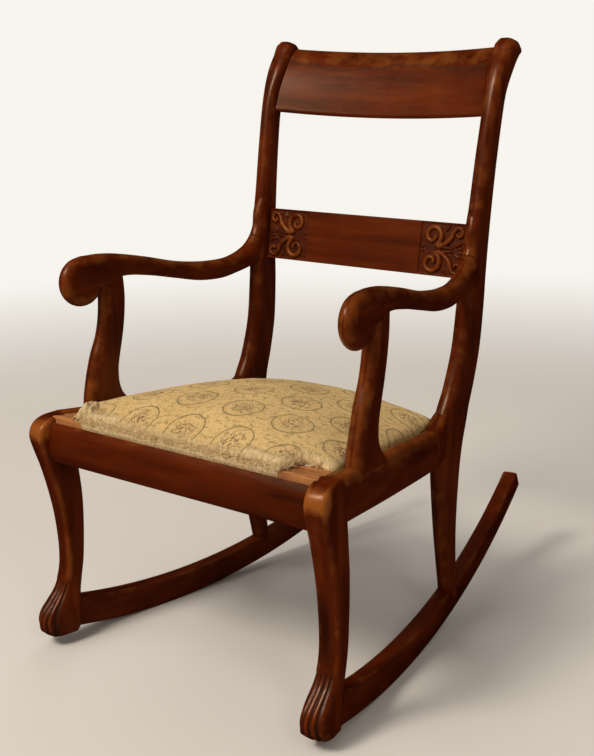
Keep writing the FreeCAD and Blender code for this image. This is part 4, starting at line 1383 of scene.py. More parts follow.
@dataclass(frozen=True)
class Tapestry:
    """Woven cover: pale gold ground with ovals of flower sprays, worn to cream at its edges."""

    name: str
    across: float = 0.0885
    along: float = 0.154
    shift: tuple[float, float] = (-0.002, 0.210)
    oval: tuple[float, float] = (0.0285, 0.0305)
    wefts: float = 5200.0
    warps: float = 3900.0
    pale_ground: Color = (0.86, 0.575, 0.235)
    ground: Color = (0.68, 0.440, 0.165)
    sprigs: Color = (0.150, 0.105, 0.030)
    flecks: Color = (0.230, 0.150, 0.045)
    leaves: Color = (0.075, 0.056, 0.016)
    flowers: Color = (0.150, 0.048, 0.030)
    outline: Color = (0.120, 0.086, 0.026)
    slubs: Color = (0.74, 0.52, 0.24)
    shade: Color = (0.17, 0.105, 0.036)
    cream: Color = (0.80, 0.58, 0.31)
    dashes: Color = (0.250, 0.150, 0.050)

    def spray(self, f: Finish, x: Tap, y: Tap) -> tuple[Tap, Tap, Tap]:
        """Draw one oval and its flowers about a centre.

        Args:
            f: The finish that is laid out.
            x: Distance across from the centre, in metres.
            y: Distance along from the centre.

        Returns:
            Masks of the outline, of the flowers and of the leaves.
        """
        spot = f.node("Attribute", {"attribute_name": "cloth"}, output="Vector")
        wobble = f.noise(spot, 70.0, 3.0)
        u = x * (1 / self.oval[0])
        v = y * (1 / self.oval[1])
        reach = (u * u + v * v) ** 0.5 + (wobble - 0.5) * 0.16
        outline = (1.25 - f.size(reach - 1) * 19.0).limited()
        inner = (1 - f.size(reach - 0.86) * 30.0).limited()
        petals = f.node("TexVoronoi", Vector=spot, Scale=300.0, Randomness=0.9)
        turned = f.node("Mapping", Vector=spot, Rotation=(0, 0, 0.7), Scale=(1.0, 0.55, 1.0))
        sprays = f.node("TexVoronoi", Vector=turned, Scale=330.0, Randomness=1.0)
        heart = ((0.62 - reach) * 5.0).limited()
        girdle = (1.2 - f.size(reach - 0.46) * 3.4).limited()
        flower = ((0.54 - petals) * 7.0).limited() * heart
        leaves = ((0.36 - sprays) * 8.0).limited() * girdle
        return (outline + inner * 0.3).limited(), flower, leaves

    def material(self) -> bpy.types.Material:
        """Lay out the finish.

        Returns:
            The material.
        """
        f = Finish(self.name)
        spot = f.node("Attribute", {"attribute_name": "cloth"}, output="Vector")
        x, y = f.parts(f.node("Mapping", Vector=spot, Location=(*self.shift, 0)))
        masks = []
        for half in (0.0, 0.5):
            cells = []
            for value, pitch in ((x, self.across), (y, self.along)):
                cell = f.node("Math", {"operation": "FRACT"}, Value=value * (1 / pitch) + half)
                cells.append((cell - 0.5) * pitch)
            masks.append(self.spray(f, *cells))
        outline, flower, leaves = ((a + b).limited() for a, b in zip(*masks))
        slub = f.noise(f.node("Mapping", Vector=spot, Scale=(1.0, 6.0, 1.0)), 260.0, 3.0, 0.7)
        cord = f.wave(y * self.wefts) * f.wave(x * self.warps)
        broad = f.noise(spot, 12.0, 3.0)
        flecks = f.noise(f.node("Mapping", Vector=spot, Scale=(1.0, 0.35, 1.0)), 520.0, 2.0, 0.6)
        sprigs = f.noise(f.node("Mapping", Vector=spot, Scale=(1.0, 1.3, 1.0)), 95.0, 4.0, 0.7)
        ground = f.mixed((broad * 1.6 - 0.3).limited(), self.ground, self.pale_ground)
        sprig = ((sprigs - 0.52) * 9.0).limited() * (0.35 + flecks)
        color = f.mixed(sprig * 0.75, ground, self.sprigs)
        color = f.mixed(((flecks - 0.48) * 5.0).limited() * 0.55, color, self.flecks)
        color = f.mixed(leaves * 0.95, color, self.leaves)
        color = f.mixed(flower * 0.90, color, self.flowers)
        color = f.mixed(outline * 0.85, color, self.outline)
        color = f.mixed((slub * 1.5 - 0.5).limited() * 0.40, color, self.slubs)
        color = f.mixed((cord * 0.5 + 0.5) * 0.18, color, self.shade)
        worn = ((f.attribute("worn") * 1.3 + slub * 1.7 - 1.45) * 2.6).limited()
        color = f.mixed(worn * 0.75, color, self.cream)
        dashes = f.noise(f.node("Mapping", Vector=spot, Scale=(1.0, 0.4, 1.0)), 330.0, 2.0, 0.7)
        color = f.mixed(((dashes - 0.50) * 9.0).limited() * worn * 0.55, color, self.dashes)
        height = cord * 0.35 + slub * 1.1 + flecks * 0.5 + worn * slub - outline * 0.3
        return f.surface(color, 0.92, height, 0.0009, Sheen_Weight=0.04, Sheen_Roughness=0.5,
                         Specular_IOR_Level=0.06)


@dataclass(frozen=True)
class Cloth:
    """Plain open cloth of crossing yarns, on Object coordinates."""

    name: str
    dark: Color
    light: Color
    yarns: float = 3000.0

    def material(self) -> bpy.types.Material:
        """Lay out the finish.

        Returns:
            The material.
        """
        f = Finish(self.name)
        x, y = f.parts(f.place())
        weave = f.wave(x * self.yarns) * f.wave(y * self.yarns) * 0.5 + 0.5
        fuzz = f.noise(f.place(), 420.0, 4.0, 0.7)
        stain = f.noise(f.place(), 14.0, 4.0, 0.6)
        color = f.mixed((weave * 0.6 + fuzz * 0.7 - 0.15).limited(), self.dark, self.light)
        color = f.mixed((stain * 1.8 - 0.6).limited() * 0.45, color, self.dark)
        return f.surface(color, 0.92, weave * 0.6 + fuzz * 0.5, 0.0006, Specular_IOR_Level=0.15)


def distance_from(spots: np.ndarray, ring: np.ndarray) -> np.ndarray:
    """Distance of plan places from a ring.

    Args:
        spots: Places, one in each row.
        ring: The ring's points in order.

    Returns:
        The distance of each place.
    """
    best = np.full(len(spots), 1e9)
    for a, b in zip(ring, np.roll(ring, -1, axis=0)):
        way = b - a
        share = np.clip(((spots - a) @ way) / max(way @ way, 1e-9), 0, 1)
        best = np.minimum(best, np.linalg.norm(spots - a - share[:, None] * way, axis=1))
    return best


def smoothed(values: np.ndarray, reach: int) -> np.ndarray:
    """Average values round a ring.

    Args:
        values: One value for each point of the ring.
        reach: How many neighbours count on each side.

    Returns:
        The averages.
    """
    wide = np.concatenate([values[-reach:], values, values[:reach]])
    return np.convolve(wide, np.ones(2 * reach + 1) / (2 * reach + 1), "valid")


def spots_of(mesh: bpy.types.Mesh) -> np.ndarray:
    """Places of a mesh's points.

    Args:
        mesh: The mesh.

    Returns:
        One place in each row, in metres.
    """
    spots = np.empty(len(mesh.vertices) * 3)
    mesh.vertices.foreach_get("co", spots)
    return spots.reshape(-1, 3)


@dataclass
class SeatPlan:
    """Sizes that the pieces of the seat share.

    They are drawn level, with the frame's underside at height 0, and then tilted.
    """

    front_y: float = -228.0
    rear_y: float = 158.0
    front_half: float = 249.0
    rear_half: float = 184.0
    floor_z: float = 352.0
    slope: float = -0.082
    frame_depth: float = 18.0
    strap_thickness: float = 1.4
    hessian_thickness: float = 0.7
    corner_width: float = 60.0
    corner_length: float = 46.0
    corner_rounds: tuple = (5, 7, 6, 14)
    rim: float = 5.0
    crown: float = 46.0
    lip_width: float = 15.0
    points_round: int = 320

    @property
    def top(self) -> float:
        """Level of the hessian's upper face, where the pad lies."""
        return self.frame_depth + 2 * self.strap_thickness + self.hessian_thickness

    @property
    def middle(self) -> np.ndarray:
        """The seat's middle in plan."""
        return np.array([0.0, (self.front_y + self.rear_y) / 2])

    @property
    def normal(self) -> np.ndarray:
        """Unit vector square to the seat."""
        lean = math.atan(self.slope)
        return np.array([0, -math.sin(lean), math.cos(lean)])

    def tilted(self, points: np.ndarray) -> np.ndarray:
        """Turn level points into the seat's plane.

        Args:
            points: Level points, one in each row.

        Returns:
            The points in the drawing frame.
        """
        lean = math.atan(self.slope)
        y, z = points[:, 1] - self.front_y, points[:, 2]
        return np.stack([points[:, 0], self.front_y + y * math.cos(lean) - z * math.sin(lean),
                         self.floor_z + y * math.sin(lean) + z * math.cos(lean)], axis=1)

    def half(self, y: np.ndarray) -> np.ndarray:
        """Half width of the seat frame at a depth."""
        share = (y - self.front_y) / (self.rear_y - self.front_y)
        return self.front_half + share * (self.rear_half - self.front_half)

    def outline(self, inset: float, corner_inset: float) -> np.ndarray:
        """The plan of the padded part, with its bare front corners cut out.

        Args:
            inset: Distance inside the frame's outer edge.
            corner_inset: Distance inside the edges of the bare corners.

        Returns:
            Evenly spaced points in order.
        """
        front, rear = self.front_y + inset, self.rear_y - inset
        near = self.front_half - self.corner_width - corner_inset
        step = self.front_y + self.corner_length + corner_inset
        spots = ((near, front), (near, step), (self.half(step) - inset, step),
                 (self.half(rear) - inset, rear))
        right = [(*spot, radius) for spot, radius in zip(spots, self.corner_rounds)]
        ring, _ = rounded_ring(right + [(-x, y, r) for x, y, r in reversed(right)], 6, 12)
        closed = np.vstack([ring, ring[:1]])
        run = np.concatenate([[0], np.cumsum(np.linalg.norm(np.diff(closed, axis=0), axis=1))])
        even = np.linspace(0, run[-1], self.points_round, endpoint=False)
        return np.column_stack([np.interp(even, run, closed[:, k]) for k in range(2)])

    def drawn_in(self, ring: np.ndarray, share: float) -> np.ndarray:
        """A ring that has gone a share of the way to the seat's middle."""
        return self.middle + (ring - self.middle) * (1 - share)

    def dome(self, spots: np.ndarray, distance: np.ndarray) -> np.ndarray:
        """Height of the pad above the hessian.

        Args:
            spots: Places in plan, one in each row.
            distance: Their distances from the pad's edge.

        Returns:
            Heights in millimetres.
        """
        share = (spots[:, 1] - self.front_y) / (self.rear_y - self.front_y)
        across = np.clip(np.abs(spots[:, 0]) / self.half(spots[:, 1]), 0, 1)
        deep = np.clip(np.abs(2 * share - 1), 0, 1)
        lip = np.sqrt(np.clip(1 - (1 - np.clip(distance / self.lip_width, 0, 1)) ** 2, 0, 1))
        front = smooth_step(-0.55, -0.9, 2 * share - 1)
        fall = (1 - deep ** (1.6 + 0.6 * front)) ** (0.42 + 0.5 * front)
        swell = self.crown * (1 - across ** 2.2) ** 0.95 * fall
        return (self.rim + swell) * (0.25 + 0.75 * lip)


@dataclass
class SeatFrame:
    """The four wooden members under the seat."""

    finish: PlainWood

    def build(self) -> None:
        """Dress the members."""
        material = self.finish.material()
        for member in ("front", "back", "left", "right"):
            node = "seat_frame_" + member
            settle(bevelled_copy(node, node + "_planed", 1.0), "drop_in_seat",
                   material, [node])


@dataclass
class Straps:
    """Straps over the frame both ways, each over and under those it crosses."""

    plan: SeatPlan
    finish: Cloth
    strap_width: float = 50.0
    columns: int = 4
    rows: int = 3
    end_inset: float = 11.0
    side_inset: float = 25.0
    clearance: float = 0.1
    play: float = 0.25
    soft_rise: tuple[float, float] = (1.0, 14.0)
    section: tuple = ((-0.5, 0), (-0.25, 0), (0, 0), (0.25, 0), (0.5, 0),
                      (0.5, 1), (0.25, 1), (0, 1), (-0.25, 1), (-0.5, 1))

    def strap(self, name: str, start: tuple, end: tuple, high: Callable,
              material: bpy.types.Material) -> None:
        """Make one strap.

        Args:
            name: The piece's name.
            start: Its first end in plan.
            end: Its last end in plan.
            high: Gives 1 where the strap passes over and 0 where it passes under.
            material: Its finish.
        """
        a, b = np.array(start, float), np.array(end, float)
        length = float(np.linalg.norm(b - a))
        way = (b - a) / length
        side = np.array([-way[1], way[0]])
        thickness = self.plan.strap_thickness
        steps = int(length / 5)
        rings = []
        for k in range(steps + 1):
            middle = a + way * length * k / steps
            level = self.plan.frame_depth + self.clearance + thickness * float(high(*middle))
            ring = [(*(middle + side * u * self.strap_width), level + w * (thickness - self.play))
                    for u, w in self.section]
            rings.append(self.plan.tilted(np.array(ring)))
        piece = Skin().loft(rings, [np.zeros(len(self.section))] * len(rings)).piece(name)
        settle(piece, "drop_in_seat", material, ["seat_webbing"])
        ends = ("left", "right") if abs(way[0]) > abs(way[1]) else ("front", "back")
        ["seat_frame_" + end for end in ends]

    def over(self, value: float, middles: Sequence[float]) -> float:
        """How far a strap has risen over those it passes, with a soft rise at both sides.

        Args:
            value: Place along the strap.
            middles: Places of the straps that it passes over.

        Returns:
            1 on a crossing and 0 away from it.
        """
        low, high = (self.strap_width / 2 + reach for reach in self.soft_rise)
        return max(float(1 - smooth_step(low, high, abs(value - middle))) for middle in middles)

    def build(self) -> None:
        """Interlace the straps."""
        material = self.finish.material()
        front, rear = self.plan.front_y + self.end_inset, self.plan.rear_y - self.end_inset
        span = 2 * (self.plan.half(rear) - self.side_inset) - self.strap_width
        xs = [-span / 2 + span * k / (self.columns - 1) for k in range(self.columns)]
        lane = (rear - front) / (self.rows + 1)
        ys = [front + lane * (k + 1) for k in range(self.rows)]
        for i, x in enumerate(xs):
            self.strap(f"strap_deep_{i + 1}", (x, front), (x, rear),
                       lambda _, y, under=ys[i % 2::2]: self.over(y, under), material)
        for j, y in enumerate(ys):
            reach = self.plan.half(y + self.strap_width / 2) - self.end_inset
            self.strap(f"strap_across_{j + 1}", (-reach, y), (reach, y),
                       lambda x, _, under=xs[1 - j % 2::2]: self.over(x, under), material)


@dataclass
class Hessian:
    """Cloth over the straps, with a faint ripple where it lies on them."""

    plan: SeatPlan
    finish: Cloth
    inset: float = 9.0
    corner_inset: float = 2.0
    clearance: float = 0.1
    ripple: float = 0.08
    fullness: float = 0.7

    def build(self) -> None:
        """Lay the cloth."""
        plan = self.plan
        ring = plan.outline(self.inset, self.corner_inset)
        rows = [plan.drawn_in(ring, share) for share in np.linspace(0, 0.97, 40)]
        spots = np.vstack([*rows, plan.middle[None]])
        ripple = np.sin(spots[:, 0] / 15.0) * np.sin(spots[:, 1] / 17.0)
        level = plan.top - plan.hessian_thickness + self.clearance + self.ripple * ripple
        points = home(plan.tilted(np.column_stack([spots, level])))
        piece = mesh_piece("seat_hessian_laid", points, closed_rows(len(rows), len(ring)))
        thicken(piece, plan.hessian_thickness * MM * self.fullness, 1.0)
        settle(piece, "drop_in_seat", self.finish.material(), ["seat_hessian"])


@dataclass
class Pad:
    """The stuffing, which swells by simulation and settles on the hessian."""

    plan: SeatPlan
    finish: Cloth
    inset: float = 5.5
    corner_inset: float = 4.5
    fullness: float = 0.9
    clearance: float = 0.15
    voxel: float = 0.006
    pressure: float = 4.0
    mass: float = 0.3
    stiffness: float = 8.0
    bending: float = 0.4
    steps: int = 20
    most_shift: float = 0.004

    def flat_pad(self) -> bpy.types.Object:
        """Shape the pad before it swells, a little smaller than its place.

        Returns:
            The pad.
        """
        plan = self.plan
        edge = plan.outline(self.inset, self.corner_inset)
        rings = [np.column_stack([edge, np.full(len(edge), plan.top + 0.4)])]
        for share in np.concatenate([[0.0, 0.006, 0.015, 0.03, 0.05], np.linspace(0.08, 0.97, 26)]):
            spots = plan.drawn_in(edge, share)
            rise = plan.dome(spots, distance_from(spots, edge) + 0.3)
            rings.append(np.column_stack([spots, plan.top + self.fullness * rise]))
        skin = Skin().loft([plan.tilted(r) for r in rings], [np.zeros(len(edge))] * len(rings))
        return skin.piece("seat_pad")

    def swollen(self, pad: bpy.types.Object) -> np.ndarray:
        """Press the pad from inside, by cloth simulation.

        Args:
            pad: The pad, which itself stays as it is.

        Returns:
            Where its points come to lie.
        """
        cloth = pad.modifiers.new("cloth", "CLOTH")
        cloth.settings.use_pressure = True
        cloth.settings.uniform_pressure_force = self.pressure
        cloth.settings.effector_weights.gravity = 0.0
        cloth.settings.mass = self.mass
        cloth.settings.tension_stiffness = self.stiffness
        cloth.settings.compression_stiffness = self.stiffness
        cloth.settings.bending_stiffness = self.bending
        cloth.point_cache.frame_start, cloth.point_cache.frame_end = 1, self.steps
        scene = bpy.context.scene
        for step in range(1, self.steps + 1):
            scene.frame_set(step)
        moved = spots_of(pad.evaluated_get(bpy.context.evaluated_depsgraph_get()).data)
        pad.modifiers.remove(cloth)
        scene.frame_set(1)
        return moved

    def build(self) -> bpy.types.Object:
        """Make the pad.

        Returns:
            The pad.
        """
        plan, pad = self.plan, self.flat_pad()
        remesh = pad.modifiers.new("remesh", "REMESH")
        remesh.mode = "VOXEL"
        remesh.voxel_size = self.voxel
        mesh = bpy.data.meshes.new_from_object(pad.evaluated_get(bpy.context.evaluated_depsgraph_get()))
        pad.modifiers.clear()
        pad.data = mesh
        spots = spots_of(mesh)
        shift = self.swollen(pad) - spots
        far = np.linalg.norm(shift, axis=1, keepdims=True)
        spots = spots + shift * np.minimum(1, self.most_shift / np.maximum(far, 1e-9))
        base = home(plan.tilted(np.array([[0, plan.front_y, plan.top + self.clearance]])))[0]
        depth = (spots - base) @ plan.normal
        spots = spots + np.outer(np.clip(-depth, 0, None), plan.normal)
        mesh.vertices.foreach_set("co", spots.ravel())
        mesh.update()
        mesh.shade_smooth()
        smooth = pad.modifiers.new("finer", "SUBSURF")
        smooth.levels = smooth.render_levels = 1
        settle(pad, "drop_in_seat", self.finish.material(), ["seat_stuffing"])
        return pad


@dataclass
class Threads:
    """Loose threads along the worn front edge and both bare corners."""

    plan: SeatPlan
    finish: Cloth
    count: int = 1500
    length: float = 0.0095
    radius: float = 0.00045
    scatter: float = 0.0032
    seed: int = 11
    bend: tuple[float, float, float] = (0.5, 0.0, -0.12)
    hang: float = 3.2
    overrun: float = 34.0
    levels: tuple[float, float, float] = (3.6, 7.0, 8.5)

    def path(self) -> bpy.types.Object:
        """The line that they grow from, on two levels.

        Returns:
            An object with one run of edges.
        """
        plan = self.plan
        near = plan.front_half - plan.corner_width - 1.0
        rear = plan.front_y + plan.corner_length + 1.0
        front = plan.front_y - self.hang
        low, upper, crest = self.levels
        route = [(-near - self.overrun, rear, low), (-near, rear, low), (-near, front, low),
                 (near, front, low), (near, rear, low), (near + self.overrun, rear, low),
                 (near, rear, upper), (near, front, crest), (-near, front, crest), (-near, rear, upper)]
        spots = plan.tilted(np.array([(x, y, plan.frame_depth + rise) for x, y, rise in route]))
        mesh = bpy.data.meshes.new("edge of the cover")
        mesh.from_pydata([tuple(p) for p in home(spots)], [(k, k + 1) for k in range(len(route) - 1)], [])
        return add_object("edge of the cover", mesh)

    def tree(self, material: bpy.types.Material) -> Grow:
        """Lay out how threads grow from a line.

        Args:
            material: Their finish.

        Returns:
            The tree.
        """
        tree = Grow("frayed threads")
        for name in ("Count", "Length", "Radius", "Scatter", "Seed"):
            tree.size(name, "Int" if name in ("Count", "Seed") else "Float")
        node, seed = tree.node, tree.source("Seed")
        vectors, scaled = {"data_type": "FLOAT_VECTOR"}, {"operation": "SCALE"}
        line = node("GeometryNodeMeshToCurve", Mesh=tree.source("Path"))
        line = node("GeometryNodeResampleCurve", Curve=line, Count=tree.source("Count"))
        spread = node("FunctionNodeRandomValue", vectors, Min=(-1, -1, -0.4), Max=(1, 1, 1), Seed=seed)
        spread = node("ShaderNodeVectorMath", scaled, Vector=spread, Scale=tree.source("Scatter"))
        line = node("GeometryNodeSetPosition", Geometry=line, Offset=spread)
        reach = node("ShaderNodeCombineXYZ", X=tree.source("Length"), Z=tree.source("Length"))
        tip = node("ShaderNodeVectorMath", scaled, Vector=reach, Scale=0.62)
        belly = node("ShaderNodeVectorMath", {"operation": "MULTIPLY"}, Vector=reach)
        belly.node.inputs[1].default_value = self.bend
        strand = node("GeometryNodeCurveQuadraticBezier", Resolution=6, Start=(0, 0, 0), Middle=belly,
                      End=tip)
        girth = node("GeometryNodeCurvePrimitiveCircle", Resolution=4, Radius=tree.source("Radius"))
        strand = node("GeometryNodeCurveToMesh", Curve=strand, Profile_Curve=girth, Fill_Caps=True)
        turn = node("FunctionNodeRandomValue", vectors, Min=(-0.7, -0.5, -3.14), Max=(0.7, 1.3, 3.14),
                    Seed=seed, ID=node("GeometryNodeInputIndex"))
        size = node("FunctionNodeRandomValue", {"data_type": "FLOAT"}, 1, Min=0.35, Max=1.25, Seed=seed)
        threads = node("GeometryNodeInstanceOnPoints", Points=line, Instance=strand, Rotation=turn,
                       Scale=size)
        threads = node("GeometryNodeRealizeInstances", Geometry=threads)
        threads = node("GeometryNodeSetMaterial", Geometry=threads, Material=material)
        tree.tree.links.new(threads, tree.tree.nodes.new("NodeGroupOutput").inputs[0])
        return tree

    def build(self) -> bpy.types.Object:
        """Grow the threads.

        Returns:
            All of them as one piece.
        """
        material = self.finish.material()
        path = self.path()
        piece = self.tree(material).grown("seat_cover_threads", path, {
            "Count": self.count, "Length": self.length, "Radius": self.radius,
            "Scatter": self.scatter, "Seed": self.seed})
        return settle(piece, "drop_in_seat", material)


@dataclass
class Tuft:
    """The torn flap of the cover, folded up against the left arm's support."""

    plan: SeatPlan
    spine: tuple = ((-192, -226), (-197, -212), (-206, -196), (-214, -180), (-217, -168))
    crest: tuple = (22.0, 28.0, 33.0, 35.0, 30.0)
    lanes: int = 25
    half_width: float = 12.5
    foot: float = 2.6
    thickness: float = 0.0009
    cloth_step: tuple[float, float] = (1.7, 2.0)

    def build(self, material: bpy.types.Material) -> None:
        """Fold the flap.

        Args:
            material: The cover's finish.
        """
        spine = flowing([(*spot, *spot) for spot in self.spine], 2.0)[:, :2]
        crest = np.interp(np.linspace(0, 1, len(spine)), np.linspace(0, 1, len(self.crest)), self.crest)
        floor = self.plan.frame_depth
        points, places = [], []
        for k, (spot, top) in enumerate(zip(spine, crest)):
            way = spine[min(k + 1, len(spine) - 1)] - spine[max(k - 1, 0)]
            side = np.array([way[1], -way[0]]) / np.linalg.norm(way)
            for j, lane in enumerate(np.linspace(-1, 1, self.lanes)):
                fold = 2.2 * math.sin(lane * 7.5 + k * 0.16) + 1.3 * math.sin(k * 0.5 + lane * 3)
                across = spot + side * (lane * self.half_width + 1.5 * math.sin(k * 0.31))
                rise = (top - floor) * (1 - lane ** 4) + fold * (1 - lane ** 2)
                points.append((*across, floor + self.foot + max(0.0, rise)))
                places.append((j * self.cloth_step[0], k * self.cloth_step[1], 0))
        piece = mesh_piece("seat_cover_tuft", home(self.plan.tilted(np.array(points))),
                           grid_faces(len(spine), self.lanes), worn=np.full(len(points), 1.0))
        lay_cloth(piece, np.array(places) * MM)
        thicken(piece, self.thickness, 1.0)
        settle(piece, "drop_in_seat", material)


@dataclass
class Cover:
    """The woven cover, stretched over the pad and down the frame's edges."""

    plan: SeatPlan
    tapestry: Tapestry
    thread: Cloth
    overhang: float = 0.5
    corner_inset: float = 1.2
    corner_margin: float = 3.5
    gap: float = 1.3
    thickness: float = 0.0007
    hem: float = 3.0
    corner_hem: float = 0.4
    lip: float = 2.2
    turn: float = 9.0
    belly: float = 2.6
    belly_from: float = 9.0
    side_rows: int = 9

    def lumps(self, spots: np.ndarray) -> np.ndarray:
        """Slow unevenness of old stuffing under the cover, in millimetres."""
        return np.array([2.6 * noise.noise(Vector((x / 58.0, y / 47.0, 3.1)))
                         + 0.9 * noise.noise(Vector((x / 19.0, y / 15.0, 7.7))) for x, y in spots])

    def sides(self, ring: np.ndarray) -> list[tuple[np.ndarray, ...]]:
        """Rows from the hem up to the lip.

        Args:
            ring: The cover's edge in plan.

        Returns:
            Places, heights, places on the flat cloth and wear, for each row.
        """
        plan = self.plan
        cut = (np.abs(ring[:, 0]) > plan.front_half - plan.corner_width - self.corner_margin) & (
            ring[:, 1] < plan.front_y + plan.corner_length + self.corner_margin) & (
            ring[:, 1] > plan.front_y + 3)
        way = np.roll(ring, -1, axis=0) - np.roll(ring, 1, axis=0)
        outward = np.column_stack([way[:, 1], -way[:, 0]])
        outward /= np.linalg.norm(outward, axis=1)[:, None]
        hem = smoothed(np.where(cut, plan.frame_depth + self.corner_hem, self.hem), 2)
        free = smoothed(smooth_step(plan.front_y + 4, plan.front_y, ring[:, 1]) * (~cut), 3)
        lip = plan.frame_depth + self.lip
        worn = np.where(cut | (ring[:, 1] < plan.front_y + 6), 0.95, 0.3)
        rows = []
        for share in np.linspace(1, 0, self.side_rows):
            level = hem + (lip - hem) * (1 - share)
            bulge = np.clip((level - self.belly_from) / (lip + 3 - self.belly_from), 0, 1)
            belly = self.belly * np.sin(math.pi * bulge)
            rows.append((ring + outward * (belly * free)[:, None], level,
                         ring + outward * (lip - level)[:, None], worn))
        return rows

    def crown(self, ring: np.ndarray) -> list[tuple[np.ndarray, ...]]:
        """Rows from the lip to the middle.

        Args:
            ring: The cover's edge in plan.

        Returns:
            Places, heights, places on the flat cloth and wear, for each row.
        """
        plan = self.plan
        lip = plan.frame_depth + self.lip
        rows = []
        for share in np.concatenate([[0.004, 0.011, 0.02, 0.032, 0.047], np.linspace(0.068, 0.985, 42)]):
            spots = plan.drawn_in(ring, share)
            away = distance_from(spots, ring)
            rise = plan.top + plan.dome(spots, away) + self.gap
            start = np.sqrt(1 - (1 - np.clip(away / self.turn, 0, 1)) ** 2)
            level = lip + (np.maximum(rise, lip) - lip) * start + self.lumps(spots) * smooth_step(4, 40, away)
            front = smooth_step(34, 0, spots[:, 1] - plan.front_y)
            cornered = (np.abs(spots[:, 0]) > 120) * (spots[:, 1] < plan.front_y + 90)
            worn = smooth_step(12, 2, away) * 0.25 + front * 0.5 + smooth_step(40, 3, away) * cornered * 0.45
            rows.append((spots, level, spots, np.clip(worn, 0, 1)))
        return rows

    def lift_off(self, points: np.ndarray, pad: bpy.types.Object) -> None:
        """Raise points that lie too near the pad.

        Args:
            points: Points of the cover, in metres, which are changed.
            pad: The pad under them.
        """
        tree = BVHTree.FromObject(pad, bpy.context.evaluated_depsgraph_get())
        up = Vector(self.plan.normal)
        for point in points:
            hit = tree.ray_cast(Vector(point) + up * 0.1, -up)[0]
            if hit is not None:
                short = self.gap * MM - (Vector(point) - hit).dot(up)
                if short > 0:
                    point += np.array(up) * short

    def build(self, pad: bpy.types.Object) -> None:
        """Make the cover with its threads and its flap.

        Args:
            pad: The pad that the cover lies on.
        """
        ring = self.plan.outline(-self.overhang, self.corner_inset)
        middle = self.plan.middle[None]
        rows = self.sides(ring) + self.crown(ring)
        spots, level, cloth, worn = zip(*rows)
        points = np.column_stack([np.vstack([*spots, middle]),
                                  np.concatenate([*level, [level[-1].mean()]])])
        placed = home(self.plan.tilted(points))
        self.lift_off(placed[len(ring) * self.side_rows:], pad)
        piece = mesh_piece("seat_cover_woven", placed, closed_rows(len(rows), len(ring)), weld=0.0,
                           worn=np.concatenate([*worn, [0.0]]))
        laid = np.vstack([*cloth, middle]) * MM
        lay_cloth(piece, np.column_stack([laid, np.zeros(len(laid))]))
        thicken(piece, self.thickness, -1.0)
        finish = self.tapestry.material()
        settle(piece, "drop_in_seat", finish, ["seat_cover"])
        threads = Threads(self.plan, self.thread).build()
        Tuft(self.plan).build(finish)


@dataclass
class DropInSeat:
    """The loose seat: a wooden frame, straps, hessian, a stuffed pad and a woven cover."""

    wood: PlainWood
    straps: Cloth
    hessian: Cloth
    wadding: Cloth
    tapestry: Tapestry
    thread: Cloth

    def build(self) -> None:
        """Make the whole seat."""
        plan = SeatPlan()
        SeatFrame(self.wood).build()
        Straps(plan, self.straps).build()
        Hessian(plan, self.hessian).build()
        Cover(plan, self.tapestry, self.thread).build(Pad(plan, self.wadding).build())


@dataclass
class Joinery:
    """Corner blocks and dowels, which keep their sawn shapes."""

    block: PlainWood
    peg: PlainWood

    def build(self) -> None:
        """Dress the blocks and the dowels."""
        wood = self.block.material()
        for hand in Hand:
            for place in ("front", "back"):
                node = f"{hand.word}_{place}_corner_block"
                settle(bevelled_copy(node, node + "_planed", 1.2), "chair", wood, [node])
        pegs = self.peg.material()
        for node in ("arm_support_dowels", "runner_dowels"):
            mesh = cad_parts[node].data
            mesh.materials.clear()
            mesh.materials.append(pegs)


@dataclass(frozen=True)
class Lamp:
    """One soft lamp, which the polish only mirrors where the lamp is told to shine."""

    name: str
    spot: tuple[float, float, float]
    aim: tuple[float, float, float]
    size: float
    power: float
    tint: Color
    shine: bool = False

    def hang(self) -> None:
        """Put the lamp in its place."""
        data = bpy.data.lights.new(self.name, "AREA")
        data.shape = "DISK"
        data.size = self.size
        data.energy = self.power
        data.color = self.tint
        made = add_object(self.name, data)
        made.visible_glossy = self.shine
        made.location = self.spot
        made.rotation_euler = (Vector(self.aim) - Vector(self.spot)).to_track_quat("-Z", "Y").to_euler()


